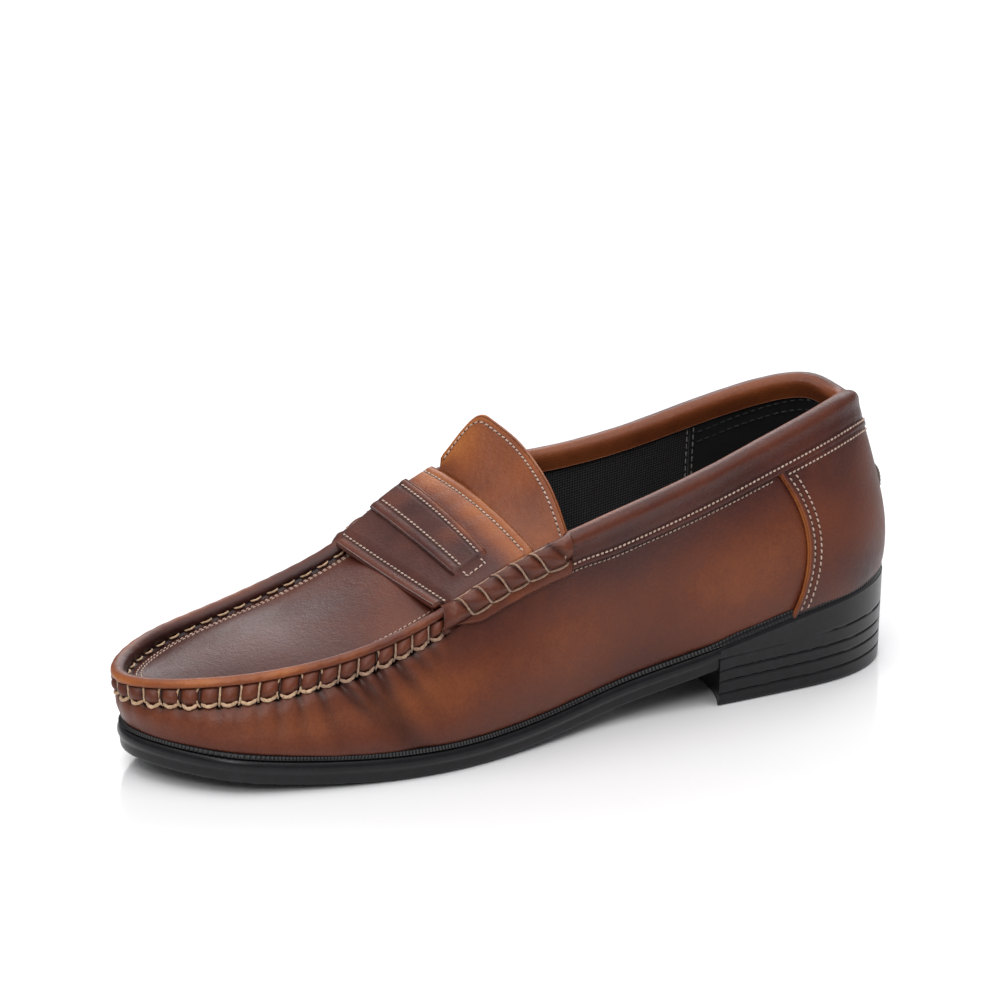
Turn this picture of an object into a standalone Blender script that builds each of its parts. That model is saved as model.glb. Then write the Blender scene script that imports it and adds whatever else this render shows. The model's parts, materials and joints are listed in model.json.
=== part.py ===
"""Penny loafer, wearer's left shoe, as separate solids on their real joints.

Every upper piece is laid on one shared wall surface that runs round the shoe.
A place on it is given by "lap", the position round the shoe counted in
stations (0 at the back of the heel, 12 at the toe tip, 24 back at the heel,
the wearer's left side first), by "drop", the distance down from the top line,
and by "out", the distance outside the leather face.  All lengths are metres.
"""

import math

import bmesh
import bpy
import numpy as np
from mathutils import Matrix

MM = 0.001
MERGE_DISTANCE = 0.01 * MM
SHARP_ANGLE = math.radians(40)

# ---- driving dimensions -------------------------------------------------
GAP = 0.3 * MM                  # clearance between touching pieces
UPPER_LEATHER = 1.4 * MM
STRAP_LEATHER = 1.6 * MM
LINING_CLOTH = 0.8 * MM
STIFFENER = 1.0 * MM
SOLE_THICKNESS = 9.3 * MM
FEATHER_INSET = 2.6 * MM        # sole edge to the foot of the upper
LASTING_MARGIN = 11 * MM
RAND_HEIGHT = 2.5 * MM
RAND_WIDTH = 1.5 * MM
INSOLE_THICKNESS = 2.0 * MM
INSOLE_INSET = 5.6 * MM         # foot of the upper to the insole edge
SOCK_THICKNESS = 1.2 * MM
HEEL_PAD_THICKNESS = 2.5 * MM
FILLER_THICKNESS = 1.3 * MM
SHANK_THICKNESS = 1.2 * MM
SHANK_HALF_WIDTH = 8 * MM
SHANK_MIDDLE_X = 1.5 * MM
HEEL_BREAST_Y = 65 * MM
HEEL_BREAST_HOLLOW = 9 * MM
HOLLOW_POINTS = 6               # outline points along the hollow, an even number
TOP_LIFT_THICKNESS = 4.0 * MM
HEEL_TAPER = 0.9 * MM           # the heel draws in by this much at its foot
HEEL_FRONT_LAP = 3.72           # where the heel's side meets its breast
GROOVE_COUNT = 3
GROOVE_DEPTH = 0.8 * MM
LOWEST_GROOVE = 0.16            # share of the heel block's height
GROOVE_SPACING = 0.27
GROOVE_PROFILE = (-0.035, -0.012, 0.012, 0.035)   # edges and floor of one groove
GROOVE_END_LAP = 3.6            # grooves fade out ahead of the breast
GROOVE_FADE = 0.25
NAIL_RADIUS = 0.9 * MM
NAIL_HEAD_RADIUS = 2.2 * MM
NAIL_HOLE_CLEARANCE = 0.35 * MM
NAIL_SPOTS = ((0.0, 134.0), (17.0, 118.0), (-17.0, 118.0), (14.0, 92.0), (-14.0, 92.0))
COLLAR_BAND = 14 * MM           # height of the collar's outer face
THREAD_RADIUS = 0.55 * MM
SEAM_STITCHES = 31
ROLL_STITCHES = 6
BACKSTAY_DROP = COLLAR_BAND + 17 * MM
BACKSTAY_LENGTH = 11 * MM
BACKSTAY_STITCHES = 9
BACKSTAY_HALF_LAP = 0.09

LIP_DROP = 3.4 * MM             # how far the apron lip folds down outside
RIDGE_DEPTH = 4.6 * MM          # ridge top down to the apron field
RIDGE_INSIDE = 3.4 * MM         # wall face in to the apron field edge
PILLOW_DROP = 6.0 * MM          # middle of the gathered band below the lip
PILLOW_SWELL = 1.2 * MM
APRON_CROWN = 3.6 * MM
COLLAR_FACE = 1.7 * MM          # outer face outside the side leather's face
COLLAR_ROLL = 3.4 * MM          # half thickness of the rolled top edge
COLLAR_INNER_LEG = 8 * MM
COLLAR_LEATHER = 1.2 * MM

SWELL_SKEW = 0.65               # below 1 the wall swells most near the sole

# lap values where pieces start and stop
SADDLE_FRONT_LAP = 8.1
SADDLE_REAR_LAP = 6.55
KEEPER_LEFT_LAPS = (7.62, 7.1)  # the strip across the saddle lies a little askew
KEEPER_RIGHT_LAPS = (7.5, 6.95)
COLLAR_START_LAP = 5.93
ROLL_FRONT_LAP = 7.95
ROLL_REAR_LAP = 6.05
QUARTER_END_LAP = 2.35          # rear end of the one-piece side panel
HEEL_LINING_LAP = 3.0

# Stations round the shoe in millimetres, wearer's left side first:
# sole edge x, sole edge y, top line x, top line y, top line z, side bulge.
STATIONS = (
    (0, 151.5, 0, 138, 98.5, 4.4),           # back of heel
    (20, 143.5, 13, 132.3, 102, 4.2),        # heel corner
    (33.5, 121, 21.5, 113.5, 100, 4.2),      # heel side
    (36.5, 92, 26.5, 88, 94, 4.2),           # counter
    (37, 60, 31, 60, 87, 3.2),               # shank
    (36.5, 28, 35.5, 30, 81, 2.5),           # waist
    (41.5, -2, 36.5, 1, 74.5, 2.5),          # rear of saddle
    (47.5, -30, 36, -24, 66.5, 3.0),         # saddle
    (50, -56, 36, -48, 56, 3.0),             # ball
    (46.5, -85, 34, -75, 46.8, 3.0),         # vamp
    (38.5, -114, 27.5, -102, 41.2, 3.0),     # toe side
    (25, -136, 15, -130, 38, 2.5),           # toe corner
    (-7, -150.5, -9, -149.5, 36.5, 1.0),     # toe tip
    (-34.5, -133, -30.5, -130.5, 39, 2.0),
    (-46, -110, -36.5, -104, 43, 2.5),
    (-52, -82, -38.5, -76, 49, 3.0),
    (-51.5, -57, -37, -49, 59.5, 3.0),
    (-44, -27, -34.5, -24, 75, 3.5),
    (-34, 3, -35, 2, 82.5, 4.5),
    (-29.5, 32, -35, 30, 83, 4.5),
    (-30, 62, -31, 60, 87, 4.5),
    (-33, 92, -26.5, 88, 94, 4.5),
    (-32, 121, -21.5, 113.5, 100, 4.2),
    (-20, 143.5, -13, 132.3, 102, 4.2),
)
LAP = len(STATIONS)
TOE_LAP = LAP / 2
STEPS_PER_STATION = 3

# Height of the foot of the upper above the floor: y, z in millimetres.
FEATHER_HEIGHTS = (
    (-152, 16.5), (-105, 11.3), (-68, 9.3), (-36, 9.3), (-8, 11.0),
    (30, 16.4), (65, 22.3), (110, 30.4), (152, 34.6),
)

# Tongue, millimetres: the line it bends about and its free edge, left to right.
TONGUE_ROOT = ((28.5, -9, 70), (12, -9.6, 75), (-4, -9.8, 78.6),
               (-18, -9.8, 81), (-29, -9.4, 81.6))
TONGUE_EDGE = ((29, 3.5, 75), (18, 6.5, 83.5), (4, 7.2, 91), (-10, 7.2, 96),
               (-21, 4.5, 100), (-27.5, 0, 100), (-30, -5, 91.5))
TONGUE_HINGE = (-4, -9.6, 77.5)  # point on the straight line through the root
TONGUE_THICKNESS = 1.5 * MM
TONGUE_LINING_THICKNESS = 0.6 * MM


# ---- curves -------------------------------------------------------------
def closed_curve(points):
    """Smooth closed curve through equally spaced control points."""
    points = np.asarray(points, float)
    count = len(points)
    shift = np.eye(count)[(np.arange(count) + 1) % count]
    system = 4 * np.eye(count) + shift + shift.T
    bend = np.linalg.solve(system, 6 * (shift @ points - 2 * points + shift.T @ points))

    def at(place):
        place = np.asarray(place, float)[..., None] % count
        low = np.floor(place).astype(int)
        t = place - low
        low = low[..., 0] % count
        high = (low + 1) % count
        s = 1 - t
        return (s * points[low] + t * points[high]
                + ((s ** 3 - s) * bend[low] + (t ** 3 - t) * bend[high]) / 6)

    return at


def open_curve(points):
    """Smooth curve from 0 to 1 through equally spaced control points."""
    points = np.asarray(points, float)
    count = len(points)
    system = 4 * np.eye(count) + np.eye(count, k=1) + np.eye(count, k=-1)
    system[0] = np.eye(count)[0]
    system[-1] = np.eye(count)[-1]
    right = np.zeros_like(points)
    right[1:-1] = 6 * (points[2:] - 2 * points[1:-1] + points[:-2])
    bend = np.linalg.solve(system, right)

    def at(place):
        place = np.clip(np.asarray(place, float), 0, 1)[..., None] * (count - 1)
        low = np.minimum(np.floor(place).astype(int), count - 2)
        t = place - low
        low = low[..., 0]
        s = 1 - t
        return (s * points[low] + t * points[low + 1]
                + ((s ** 3 - s) * bend[low] + (t ** 3 - t) * bend[low + 1]) / 6)

    return at


def ease(t):
    """Smooth step from 0 to 1."""
    t = np.clip(t, 0, 1)
    return t * t * (3 - 2 * t)


STATION_CURVE = closed_curve(np.array(STATIONS) * MM)
HEIGHT_Y = np.array(FEATHER_HEIGHTS)[:, 0] * MM
HEIGHT_Z = np.array(FEATHER_HEIGHTS)[:, 1] * MM
HEIGHT_SLOPE = np.gradient(HEIGHT_Z, HEIGHT_Y)


def feather_height(y):
    """Height of the foot of the upper at each distance along the shoe."""
    y = np.clip(y, HEIGHT_Y[0], HEIGHT_Y[-1])
    low = np.clip(np.searchsorted(HEIGHT_Y, y, side="right") - 1, 0, len(HEIGHT_Y) - 2)
    span = HEIGHT_Y[low + 1] - HEIGHT_Y[low]
    t = (y - HEIGHT_Y[low]) / span
    return ((1 + 2 * t) * (1 - t) ** 2 * HEIGHT_Z[low]
            + t * (1 - t) ** 2 * span * HEIGHT_SLOPE[low]
            + t * t * (3 - 2 * t) * HEIGHT_Z[low + 1]
            + t * t * (t - 1) * span * HEIGHT_SLOPE[low + 1])


def sole_bottom(y):
    """Height of the underside of the outsole."""
    return np.maximum(feather_height(y) - SOLE_THICKNESS, 0)


def edge_normal(lap):
    """Outward direction of the sole edge, seen from above."""
    ahead = STATION_CURVE(lap + 0.02)[..., :2]
    behind = STATION_CURVE(lap - 0.02)[..., :2]
    along = ahead - behind
    normal = np.stack([-along[..., 1], along[..., 0]], -1)
    return normal / np.linalg.norm(normal, axis=-1, keepdims=True)


def sole_point(lap, inset):
    """Point on the plan outline moved inward, x and y only."""
    lap = np.asarray(lap, float)
    inset = np.broadcast_to(np.asarray(inset, float), lap.shape)
    return STATION_CURVE(lap)[..., :2] - edge_normal(lap) * inset[..., None]


def wall_face(lap, rise):
    """Leather face of the wall; rise is 0 at the sole and 1 at the top line."""
    station = STATION_CURVE(lap)
    foot = sole_point(lap, FEATHER_INSET)
    foot_z = feather_height(foot[..., 1])
    rise = np.broadcast_to(np.asarray(rise, float), foot_z.shape)
    swell = station[..., 5] * np.sin(math.pi * np.clip(rise, 0, 1) ** SWELL_SKEW)
    plan = foot + (station[..., 2:4] - foot) * rise[..., None]
    plan = plan + edge_normal(lap) * swell[..., None]
    height = foot_z + (station[..., 4] - foot_z) * rise
    return np.concatenate([plan, height[..., None]], -1)


def wall_height(lap):
    """Height of the top line above the foot of the upper."""
    foot = sole_point(lap, FEATHER_INSET)
    return STATION_CURVE(lap)[..., 4] - feather_height(foot[..., 1])


def wall(lap, rise, out):
    """Wall point moved outside the leather face by "out"."""
    lap, rise, out = np.broadcast_arrays(*(np.asarray(v, float) for v in (lap, rise, out)))
    step = 0.01
    along = wall_face(lap + step, rise) - wall_face(lap - step, rise)
    low = np.clip(rise - step, 0, 1)
    up = wall_face(lap, low + 2 * step) - wall_face(lap, low)
    normal = np.cross(up, along)
    normal = normal / np.linalg.norm(normal, axis=-1, keepdims=True)
    return wall_face(lap, rise) + normal * out[..., None]


def wall_drop(lap, drop, out):
    """Wall point given by its distance below the top line."""
    return wall(lap, 1 - np.asarray(drop, float) / wall_height(lap), out)


# ---- mesh building ------------------------------------------------------
def new_material(name, finish):
    """Plain material of one piece, from its base colour, roughness and metallic value."""
    colour, roughness, metallic = finish
    material = bpy.data.materials.new(name)
    material.use_nodes = True
    shader = material.node_tree.nodes["Principled BSDF"]
    shader.inputs["Base Color"].default_value = (*colour, 1.0)
    shader.inputs["Roughness"].default_value = roughness
    shader.inputs["Metallic"].default_value = metallic
    material.diffuse_color = (*colour, 1.0)
    return material


def new_object(name, points, faces, finish):
    """Closed object from points and faces, with outward normals and its own material."""
    mesh = bpy.data.meshes.new(name)
    mesh.from_pydata([tuple(p) for p in points], [], [tuple(f) for f in faces])
    work = bmesh.new()
    work.from_mesh(mesh)
    bmesh.ops.remove_doubles(work, verts=work.verts, dist=MERGE_DISTANCE)
    bmesh.ops.dissolve_degenerate(work, edges=work.edges, dist=MERGE_DISTANCE)
    bmesh.ops.triangulate(work, faces=work.faces)
    bmesh.ops.recalc_face_normals(work, faces=work.faces)
    if work.calc_volume(signed=True) < 0:
        bmesh.ops.reverse_faces(work, faces=work.faces)
    work.to_mesh(mesh)
    work.free()
    mesh.materials.append(new_material(name, finish))
    mesh.shade_smooth()
    mesh.set_sharp_from_angle(angle=SHARP_ANGLE)
    obj = bpy.data.objects.new(name, mesh)
    bpy.context.scene.collection.objects.link(obj)
    return obj


def grid_faces(rows, columns):
    faces = []
    for row in range(rows - 1):
        below = row + 1
        for column in range(columns - 1):
            faces.append((row * columns + column, row * columns + column + 1,
                          below * columns + column + 1, below * columns + column))
    return faces


def loop_faces(rows, size, closed=False):
    """Faces between neighbouring closed loops of points."""
    faces = []
    for row in range(rows if closed else rows - 1):
        below = (row + 1) % rows
        for column in range(size):
            right = (column + 1) % size
            faces.append((row * size + column, row * size + right,
                          below * size + right, below * size + column))
    return faces


def merge_points(points, faces):
    """Join coinciding points and drop the faces that collapse."""
    keys = {}
    place = []
    kept = []
    for point in points:
        key = tuple(np.round(point, 6))
        if key not in keys:
            keys[key] = len(kept)
            kept.append(point)
        place.append(keys[key])
    joined = []
    for face in faces:
        corners = []
        for corner in (place[index] for index in face):
            if corner not in corners:
                corners.append(corner)
        if len(corners) > 2:
            joined.append(tuple(corners))
    return np.array(kept), joined


def face_normals(points, faces):
    """Vertex normals, each the sum of its faces' area vectors."""
    normals = np.zeros_like(points)
    for face in faces:
        corners = points[list(face)]
        centre = corners.mean(0)
        area = np.zeros(3)
        for index in range(len(face)):
            area += np.cross(corners[index - 1] - centre, corners[index] - centre)
        for index in face:
            normals[index] += area
    length = np.linalg.norm(normals, axis=1, keepdims=True)
    return normals / np.maximum(length, 1e-12)


def sheet(name, grid, thickness, finish):
    """Solid sheet: the grid is its visible face, the rest is laid behind it."""
    grid = np.asarray(grid, float)
    rows, columns = grid.shape[:2]
    points, faces = merge_points(grid.reshape(-1, 3), grid_faces(rows, columns))
    normals = face_normals(points, faces)
    count = len(points)
    behind = points - normals * thickness
    edges = {}
    for face in faces:
        for index in range(len(face)):
            edge = (face[index - 1], face[index])
            if (edge[1], edge[0]) in edges:
                del edges[(edge[1], edge[0])]
            else:
                edges[edge] = True
    solid = list(faces)
    solid += [tuple(count + index for index in reversed(face)) for face in faces]
    solid += [(start, start + count, end + count, end) for start, end in edges]
    return new_object(name, np.vstack([points, behind]), solid, finish)


def facing(grid, outward_hint):
    """Flip a grid so that its normals look along the hint."""
    grid = np.asarray(grid, float)
    middle = grid[grid.shape[0] // 2, grid.shape[1] // 2]
    down = grid[grid.shape[0] // 2 - 1, grid.shape[1] // 2] - middle
    right = grid[grid.shape[0] // 2, grid.shape[1] // 2 - 1] - middle
    if np.dot(np.cross(right, down), outward_hint) < 0:
        return grid[:, ::-1]
    return grid


def swept_ring(name, sections, finish, closed=False):
    """Solid with the given cross sections, one closed loop of points each."""
    sections = np.asarray(sections, float)
    count, size = sections.shape[:2]
    faces = loop_faces(count, size, closed)
    if not closed:
        faces.append(tuple(reversed(range(size))))
        faces.append(tuple(range((count - 1) * size, count * size)))
    return new_object(name, sections.reshape(-1, 3), faces, finish)


def tube(name, path, radius, sides, finish):
    """Round thread along a path, with flat ends."""
    path = np.asarray(path, float)
    along = np.gradient(path, axis=0)
    along /= np.linalg.norm(along, axis=1, keepdims=True)
    side = np.cross(along[0], (0.31, 0.52, 0.79))
    sections = []
    for point, direction in zip(path, along):
        side = side - direction * np.dot(side, direction)
        side /= np.linalg.norm(side)
        other = np.cross(direction, side)
        angles = np.arange(sides) * 2 * math.pi / sides
        sections.append([point + radius * (math.cos(a) * side + math.sin(a) * other)
                         for a in angles])
    return swept_ring(name, sections, finish)


def cut(target, cutter):
    """Take the cutter's shape out of the target and drop the cutter."""
    modifier = target.modifiers.new("cut", "BOOLEAN")
    modifier.operation = "DIFFERENCE"
    modifier.solver = "EXACT"
    modifier.object = cutter
    depsgraph = bpy.context.evaluated_depsgraph_get()
    result = bpy.data.meshes.new_from_object(target.evaluated_get(depsgraph))
    target.modifiers.clear()
    target.data = result
    bpy.data.objects.remove(cutter)


def cylinder_sections(x, y, heights_and_radii, sides=10):
    angles = np.arange(sides) * 2 * math.pi / sides
    return [[(x + radius * math.cos(a), y + radius * math.sin(a), z) for a in angles]
            for z, radius in heights_and_radii]


# ---- finishes: base colour, roughness, metallic ---------------------------
SIDE_LEATHER = ((0.25, 0.085, 0.035), 0.42, 0.0)
APRON_LEATHER = ((0.16, 0.062, 0.038), 0.38, 0.0)
SADDLE_LEATHER = ((0.15, 0.055, 0.035), 0.4, 0.0)
TONGUE_LEATHER = ((0.24, 0.085, 0.035), 0.42, 0.0)
COLLAR_FINISH = ((0.24, 0.08, 0.03), 0.4, 0.0)
BLACK_RUBBER = ((0.012, 0.012, 0.013), 0.45, 0.0)
THREAD_COTTON = ((0.55, 0.42, 0.27), 0.75, 0.0)
MESH_CLOTH = ((0.012, 0.012, 0.013), 0.85, 0.0)
GRIP_LINING = ((0.015, 0.015, 0.016), 0.6, 0.0)
INSOLE_FIBRE = ((0.32, 0.22, 0.13), 0.85, 0.0)
CORK = ((0.35, 0.2, 0.1), 0.9, 0.0)
STEEL = ((0.58, 0.58, 0.6), 0.35, 1.0)
FOAM = ((0.6, 0.55, 0.4), 0.95, 0.0)
STIFF_BOARD = ((0.5, 0.45, 0.36), 0.8, 0.0)


# ---- shared layouts -----------------------------------------------------
def laps(start, end):
    """Lap values on the common spacing, with both ends included."""
    spacing = 1 / STEPS_PER_STATION
    inner = np.arange(math.ceil(start / spacing + 0.2), math.floor(end / spacing - 0.2) + 1)
    return np.concatenate([[start], inner * spacing, [end]])


def all_laps():
    return np.arange(LAP * STEPS_PER_STATION) / STEPS_PER_STATION


def mirror_rows(start, end=TOE_LAP):
    """Left and right lap values paired for rows that run across the shoe."""
    left = laps(start, end)
    return left, LAP - left


def across(left, right, shares, crown):
    """Rows from left points to right points with a raised middle."""
    shares = np.asarray(shares, float)
    crown = np.broadcast_to(np.asarray(crown, float), (len(left),))
    rows = (left[:, None] * (1 - shares)[None, :, None]
            + right[:, None] * shares[None, :, None])
    rows[..., 2] += crown[:, None] * (4 * shares * (1 - shares))[None, :]
    return rows


def plan_rows(start, end, inset, lift, shares):
    """Rows inside the sole outline at a height above the foot of the upper."""
    left_lap, right_lap = mirror_rows(start, end)
    left = sole_point(left_lap, inset)
    right = sole_point(right_lap, inset)
    shares = np.asarray(shares, float)
    plan = (left[:, None] * (1 - shares)[None, :, None]
            + right[:, None] * shares[None, :, None])
    height = feather_height(plan[..., 1]) + (lift(plan[..., 1]) if callable(lift) else lift)
    return np.concatenate([plan, height[..., None]], -1)


def level_sheet(name, inset, lift, thickness, finish, start=0.0, end=TOE_LAP):
    """Flat-lying sheet following the footbed; lift is the height of its underside."""
    shares = np.linspace(0, 1, 5)

    def top_lift(y):
        under = lift(y) if callable(lift) else lift
        return under + (thickness(y) if callable(thickness) else thickness)

    under = plan_rows(start, end, inset, lift, shares)
    over = plan_rows(start, end, inset, top_lift, shares)
    loops = np.concatenate([over, under[:, ::-1]], axis=1)
    return closed_rows(name, loops, finish)


def closed_rows(name, loops, finish):
    """Solid whose rows are closed loops; a first or last row may be a flat line."""
    loops = np.asarray(loops, float)
    count, size = loops.shape[:2]
    faces = loop_faces(count, size)
    half = size // 2
    for row in (0, count - 1):
        for column in range(half - 1):
            faces.append((row * size + column, row * size + column + 1,
                          row * size + size - 2 - column, row * size + size - 1 - column))
    points, faces = merge_points(loops.reshape(-1, 3), faces)
    faces = drop_folded(faces)
    return new_object(name, points, faces, finish)


def drop_folded(faces):
    """Remove faces that meet their own copy back to back."""
    seen = {}
    for face in faces:
        seen.setdefault(frozenset(face), []).append(face)
    return [group[0] for group in seen.values() if len(group) == 1]


# ---- bottom pieces ------------------------------------------------------
def make_outsole(finish):
    """Full-length rubber sole with a rounded edge."""
    left_lap, right_lap = mirror_rows(0.0)
    edge_steps = ((3.6 * MM, 0.0), (1.3 * MM, 0.07), (0.2 * MM, 0.24), (0.0, 0.6),
                  (0.35 * MM, 0.88), (1.3 * MM, 1.0))
    shares = np.linspace(0, 1, 6)[1:-1]

    def side(lap_values):
        columns = []
        for inset, share in edge_steps:
            plan = sole_point(lap_values, inset)
            low = sole_bottom(plan[:, 1])
            high = feather_height(plan[:, 1])
            height = low + (high - low) * share
            columns.append(np.concatenate([plan, height[:, None]], 1))
        return np.stack(columns, 1)

    left = side(left_lap)
    right = side(right_lap)[:, ::-1]
    top = across(left[:, -1], right[:, 0], shares, 0)
    top[..., 2] = feather_height(top[..., 1])
    under = across(right[:, -1], left[:, 0], shares, 0)
    under[..., 2] = sole_bottom(under[..., 1])
    loops = np.concatenate([left, top, right, under], axis=1)
    return loops_solid("outsole", loops, finish)


def loops_solid(name, loops, finish):
    """Solid from closed loops whose end loops fold flat onto themselves."""
    count, size = loops.shape[:2]
    faces = loop_faces(count, size)
    points, faces = merge_points(loops.reshape(-1, 3), faces)
    return new_object(name, points, drop_folded(faces), finish)


def heel_laps():
    """Laps round the heel from one breast corner to the other."""
    half = np.linspace(0, HEEL_FRONT_LAP, 16)
    return np.concatenate([-half[:0:-1], half])


def heel_outline(inset):
    """Heel plan: round the back, then across the hollowed front."""
    around = sole_point(heel_laps(), inset)
    left, right = around[-1], around[0]
    left = np.array([left[0], HEEL_BREAST_Y])
    right = np.array([right[0], HEEL_BREAST_Y])
    around[-1], around[0] = left, right
    shares = np.linspace(0, 1, HOLLOW_POINTS + 2)[1:-1]
    front = left * (1 - shares)[:, None] + right * shares[:, None]
    front[:, 1] += HEEL_BREAST_HOLLOW * 4 * shares * (1 - shares)
    return np.vstack([around, front])


def capped_stack(name, levels, finish):
    """Solid from stacked closed outlines, closed by flat faces at each end."""
    levels = np.asarray(levels, float)
    count, size = levels.shape[:2]
    faces = loop_faces(count, size)
    for row in (0, count - 1):
        faces += heel_cap(row * size, size)
    return new_object(name, levels.reshape(-1, 3), faces, finish)


def heel_cap(base, size):
    """Flat faces that close a heel outline: cross strips, then faces round the hollow."""
    last = size - 1 - HOLLOW_POINTS
    middle = last + HOLLOW_POINTS // 2
    strips = [(step, step + 1, last - step - 1, last - step) for step in range(2, last // 2)]
    strips.append((1, 2, last - 2, last - 1, middle, middle + 1))
    strips.append((last - 1, last, *range(last + 1, middle + 1)))
    strips.append((0, 1, *range(middle + 1, size)))
    return [tuple(base + index for index in dict.fromkeys(strip)) for strip in strips]


def make_heel_block(finish):
    """Rubber heel with grooves that stop short of the breast."""
    bottom = TOP_LIFT_THICKNESS + GAP
    shares = [0.0]
    for groove in range(GROOVE_COUNT):
        middle = LOWEST_GROOVE + groove * GROOVE_SPACING
        shares += [middle + shift for shift in GROOVE_PROFILE]
    shares.append(1.0)
    laps_here = heel_laps()
    fade = ease((GROOVE_END_LAP - np.abs(laps_here)) / GROOVE_FADE)
    levels = []
    for index, share in enumerate(shares):
        inside = index % 4 in (2, 3) and 0 < index < len(shares) - 1
        inset = HEEL_TAPER * (1 - share)
        outline = heel_outline(inset)
        if inside:
            groove_line = heel_outline(inset + GROOVE_DEPTH)
            around = len(laps_here)
            outline[:around] += (groove_line[:around] - outline[:around]) * fade[:, None]
        top = feather_height(outline[:, 1]) - SOLE_THICKNESS - GAP
        height = bottom + (top - bottom) * share
        levels.append(np.concatenate([outline, height[:, None]], 1))
    return capped_stack("heel_block", levels, finish)


def make_top_lift(finish):
    levels = []
    steps = ((HEEL_TAPER + 0.4 * MM, 0.0), (HEEL_TAPER, 0.5 * MM),
             (HEEL_TAPER, TOP_LIFT_THICKNESS))
    for inset, height in steps:
        outline = heel_outline(inset)
        levels.append(np.concatenate([outline, np.full((len(outline), 1), height)], 1))
    return capped_stack("heel_top_lift", levels, finish)


def make_rand(finish):
    """Narrow strip that covers the joint between the upper and the sole."""
    lap = all_laps()
    up = np.array([0, 0, GAP])
    height = wall_height(lap)
    inner_low = wall(lap, 0, 0.4 * MM) + up
    outer_low = wall(lap, 0, RAND_WIDTH + 0.5 * MM) + up
    outer_top = wall(lap, RAND_HEIGHT / height, RAND_WIDTH)
    inner_top = wall(lap, RAND_HEIGHT / height, 0.4 * MM)
    inner_low[:, 2] = feather_height(inner_low[:, 1]) + GAP
    outer_low[:, 2] = feather_height(outer_low[:, 1]) + GAP
    sections = np.stack([inner_low, outer_low, outer_top, inner_top], 1)
    return swept_ring("toothed_rand", sections, finish, closed=True)


def make_insole_board(finish):
    return level_sheet("insole_board", FEATHER_INSET + INSOLE_INSET,
                       2 * GAP + UPPER_LEATHER, INSOLE_THICKNESS, finish)


def heel_pad_rise(y):
    return ease((y - 35 * MM) / (30 * MM))


def sock_lift(y):
    base = 3 * GAP + UPPER_LEATHER + INSOLE_THICKNESS
    return base + (HEEL_PAD_THICKNESS + GAP) * heel_pad_rise(y)


def make_sock_liner(finish):
    return level_sheet("sock_liner", FEATHER_INSET + INSOLE_INSET, sock_lift,
                       SOCK_THICKNESS, finish)


def make_heel_pad(finish):
    lift = 3 * GAP + UPPER_LEATHER + INSOLE_THICKNESS

    def thickness(y):
        return 0.25 * MM + (HEEL_PAD_THICKNESS - 0.25 * MM) * heel_pad_rise(y)

    return level_sheet("heel_pad", FEATHER_INSET + INSOLE_INSET + 3 * MM, lift,
                       thickness, finish, start=0.0, end=4.4)


def make_filler(finish):
    return level_sheet("forepart_filler", FEATHER_INSET + LASTING_MARGIN + 1 * MM, GAP,
                       FILLER_THICKNESS, finish, start=7.0)


def make_shank(finish):
    """Narrow steel spring under the arch."""
    y = np.linspace(-8 * MM, 84 * MM, 12)
    share = (y - y[0]) / (y[-1] - y[0])
    half = SHANK_HALF_WIDTH * np.clip(np.sin(math.pi * (0.08 + 0.84 * share)) ** 0.35, 0.5, 1)
    low = feather_height(y) + GAP
    sections = []
    for place, reach, base in zip(y, half, low):
        left, right = SHANK_MIDDLE_X + reach, SHANK_MIDDLE_X - reach
        top = base + SHANK_THICKNESS
        sections.append([(left, place, base), (right, place, base),
                         (right, place, top), (left, place, top)])
    return swept_ring("steel_shank", sections, finish)


def nail_ends(y):
    """Heights of the nail head's top and of the nail's tip."""
    head_top = feather_height(y) + 2 * GAP + UPPER_LEATHER + INSOLE_THICKNESS - 0.1 * MM
    return head_top, TOP_LIFT_THICKNESS + 3.0 * MM


def make_nail(number, spot, finish):
    x, y = spot[0] * MM, spot[1] * MM
    head_top, tip = nail_ends(y)
    shape = ((tip, 0.35 * MM), (tip + 2 * MM, NAIL_RADIUS),
             (head_top - 0.9 * MM, NAIL_RADIUS), (head_top - 0.8 * MM, NAIL_HEAD_RADIUS),
             (head_top, NAIL_HEAD_RADIUS))
    return swept_ring(f"heel_nail_{number}", cylinder_sections(x, y, shape), finish)


def bore_for_nail(targets, spot, finish):
    """Clearance hole for one nail through every piece it passes."""
    x, y = spot[0] * MM, spot[1] * MM
    head_top, tip = nail_ends(y)
    stem = NAIL_RADIUS + NAIL_HOLE_CLEARANCE
    head = NAIL_HEAD_RADIUS + NAIL_HOLE_CLEARANCE
    shape = ((tip - 0.5 * MM, stem), (head_top - 1.1 * MM, stem),
             (head_top - 1.1 * MM, head), (head_top + 3 * MM, head))
    for target in targets:
        cutter = swept_ring("nail_cutter", cylinder_sections(x, y, shape), finish)
        cut(target, cutter)


# ---- upper pieces -------------------------------------------------------
WALL_SHARES = (0, 0.1, 0.22, 0.38, 0.58, 0.8, 1)


def wall_columns(lap, low_lift, top_drop, out):
    """Rings of wall points, closer together low down where the wall bends most."""
    height = wall_height(lap)
    span = height - top_drop - low_lift
    return [wall(lap, (low_lift + span * share) / height, out) for share in WALL_SHARES]


def seam_share(lap):
    """1 where the stitched seam ridge shows, 0 from the saddle back."""
    from_toe = np.abs(np.asarray(lap, float) - TOE_LAP)
    return ease((TOE_LAP - SADDLE_FRONT_LAP - from_toe) / 0.4)


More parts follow.
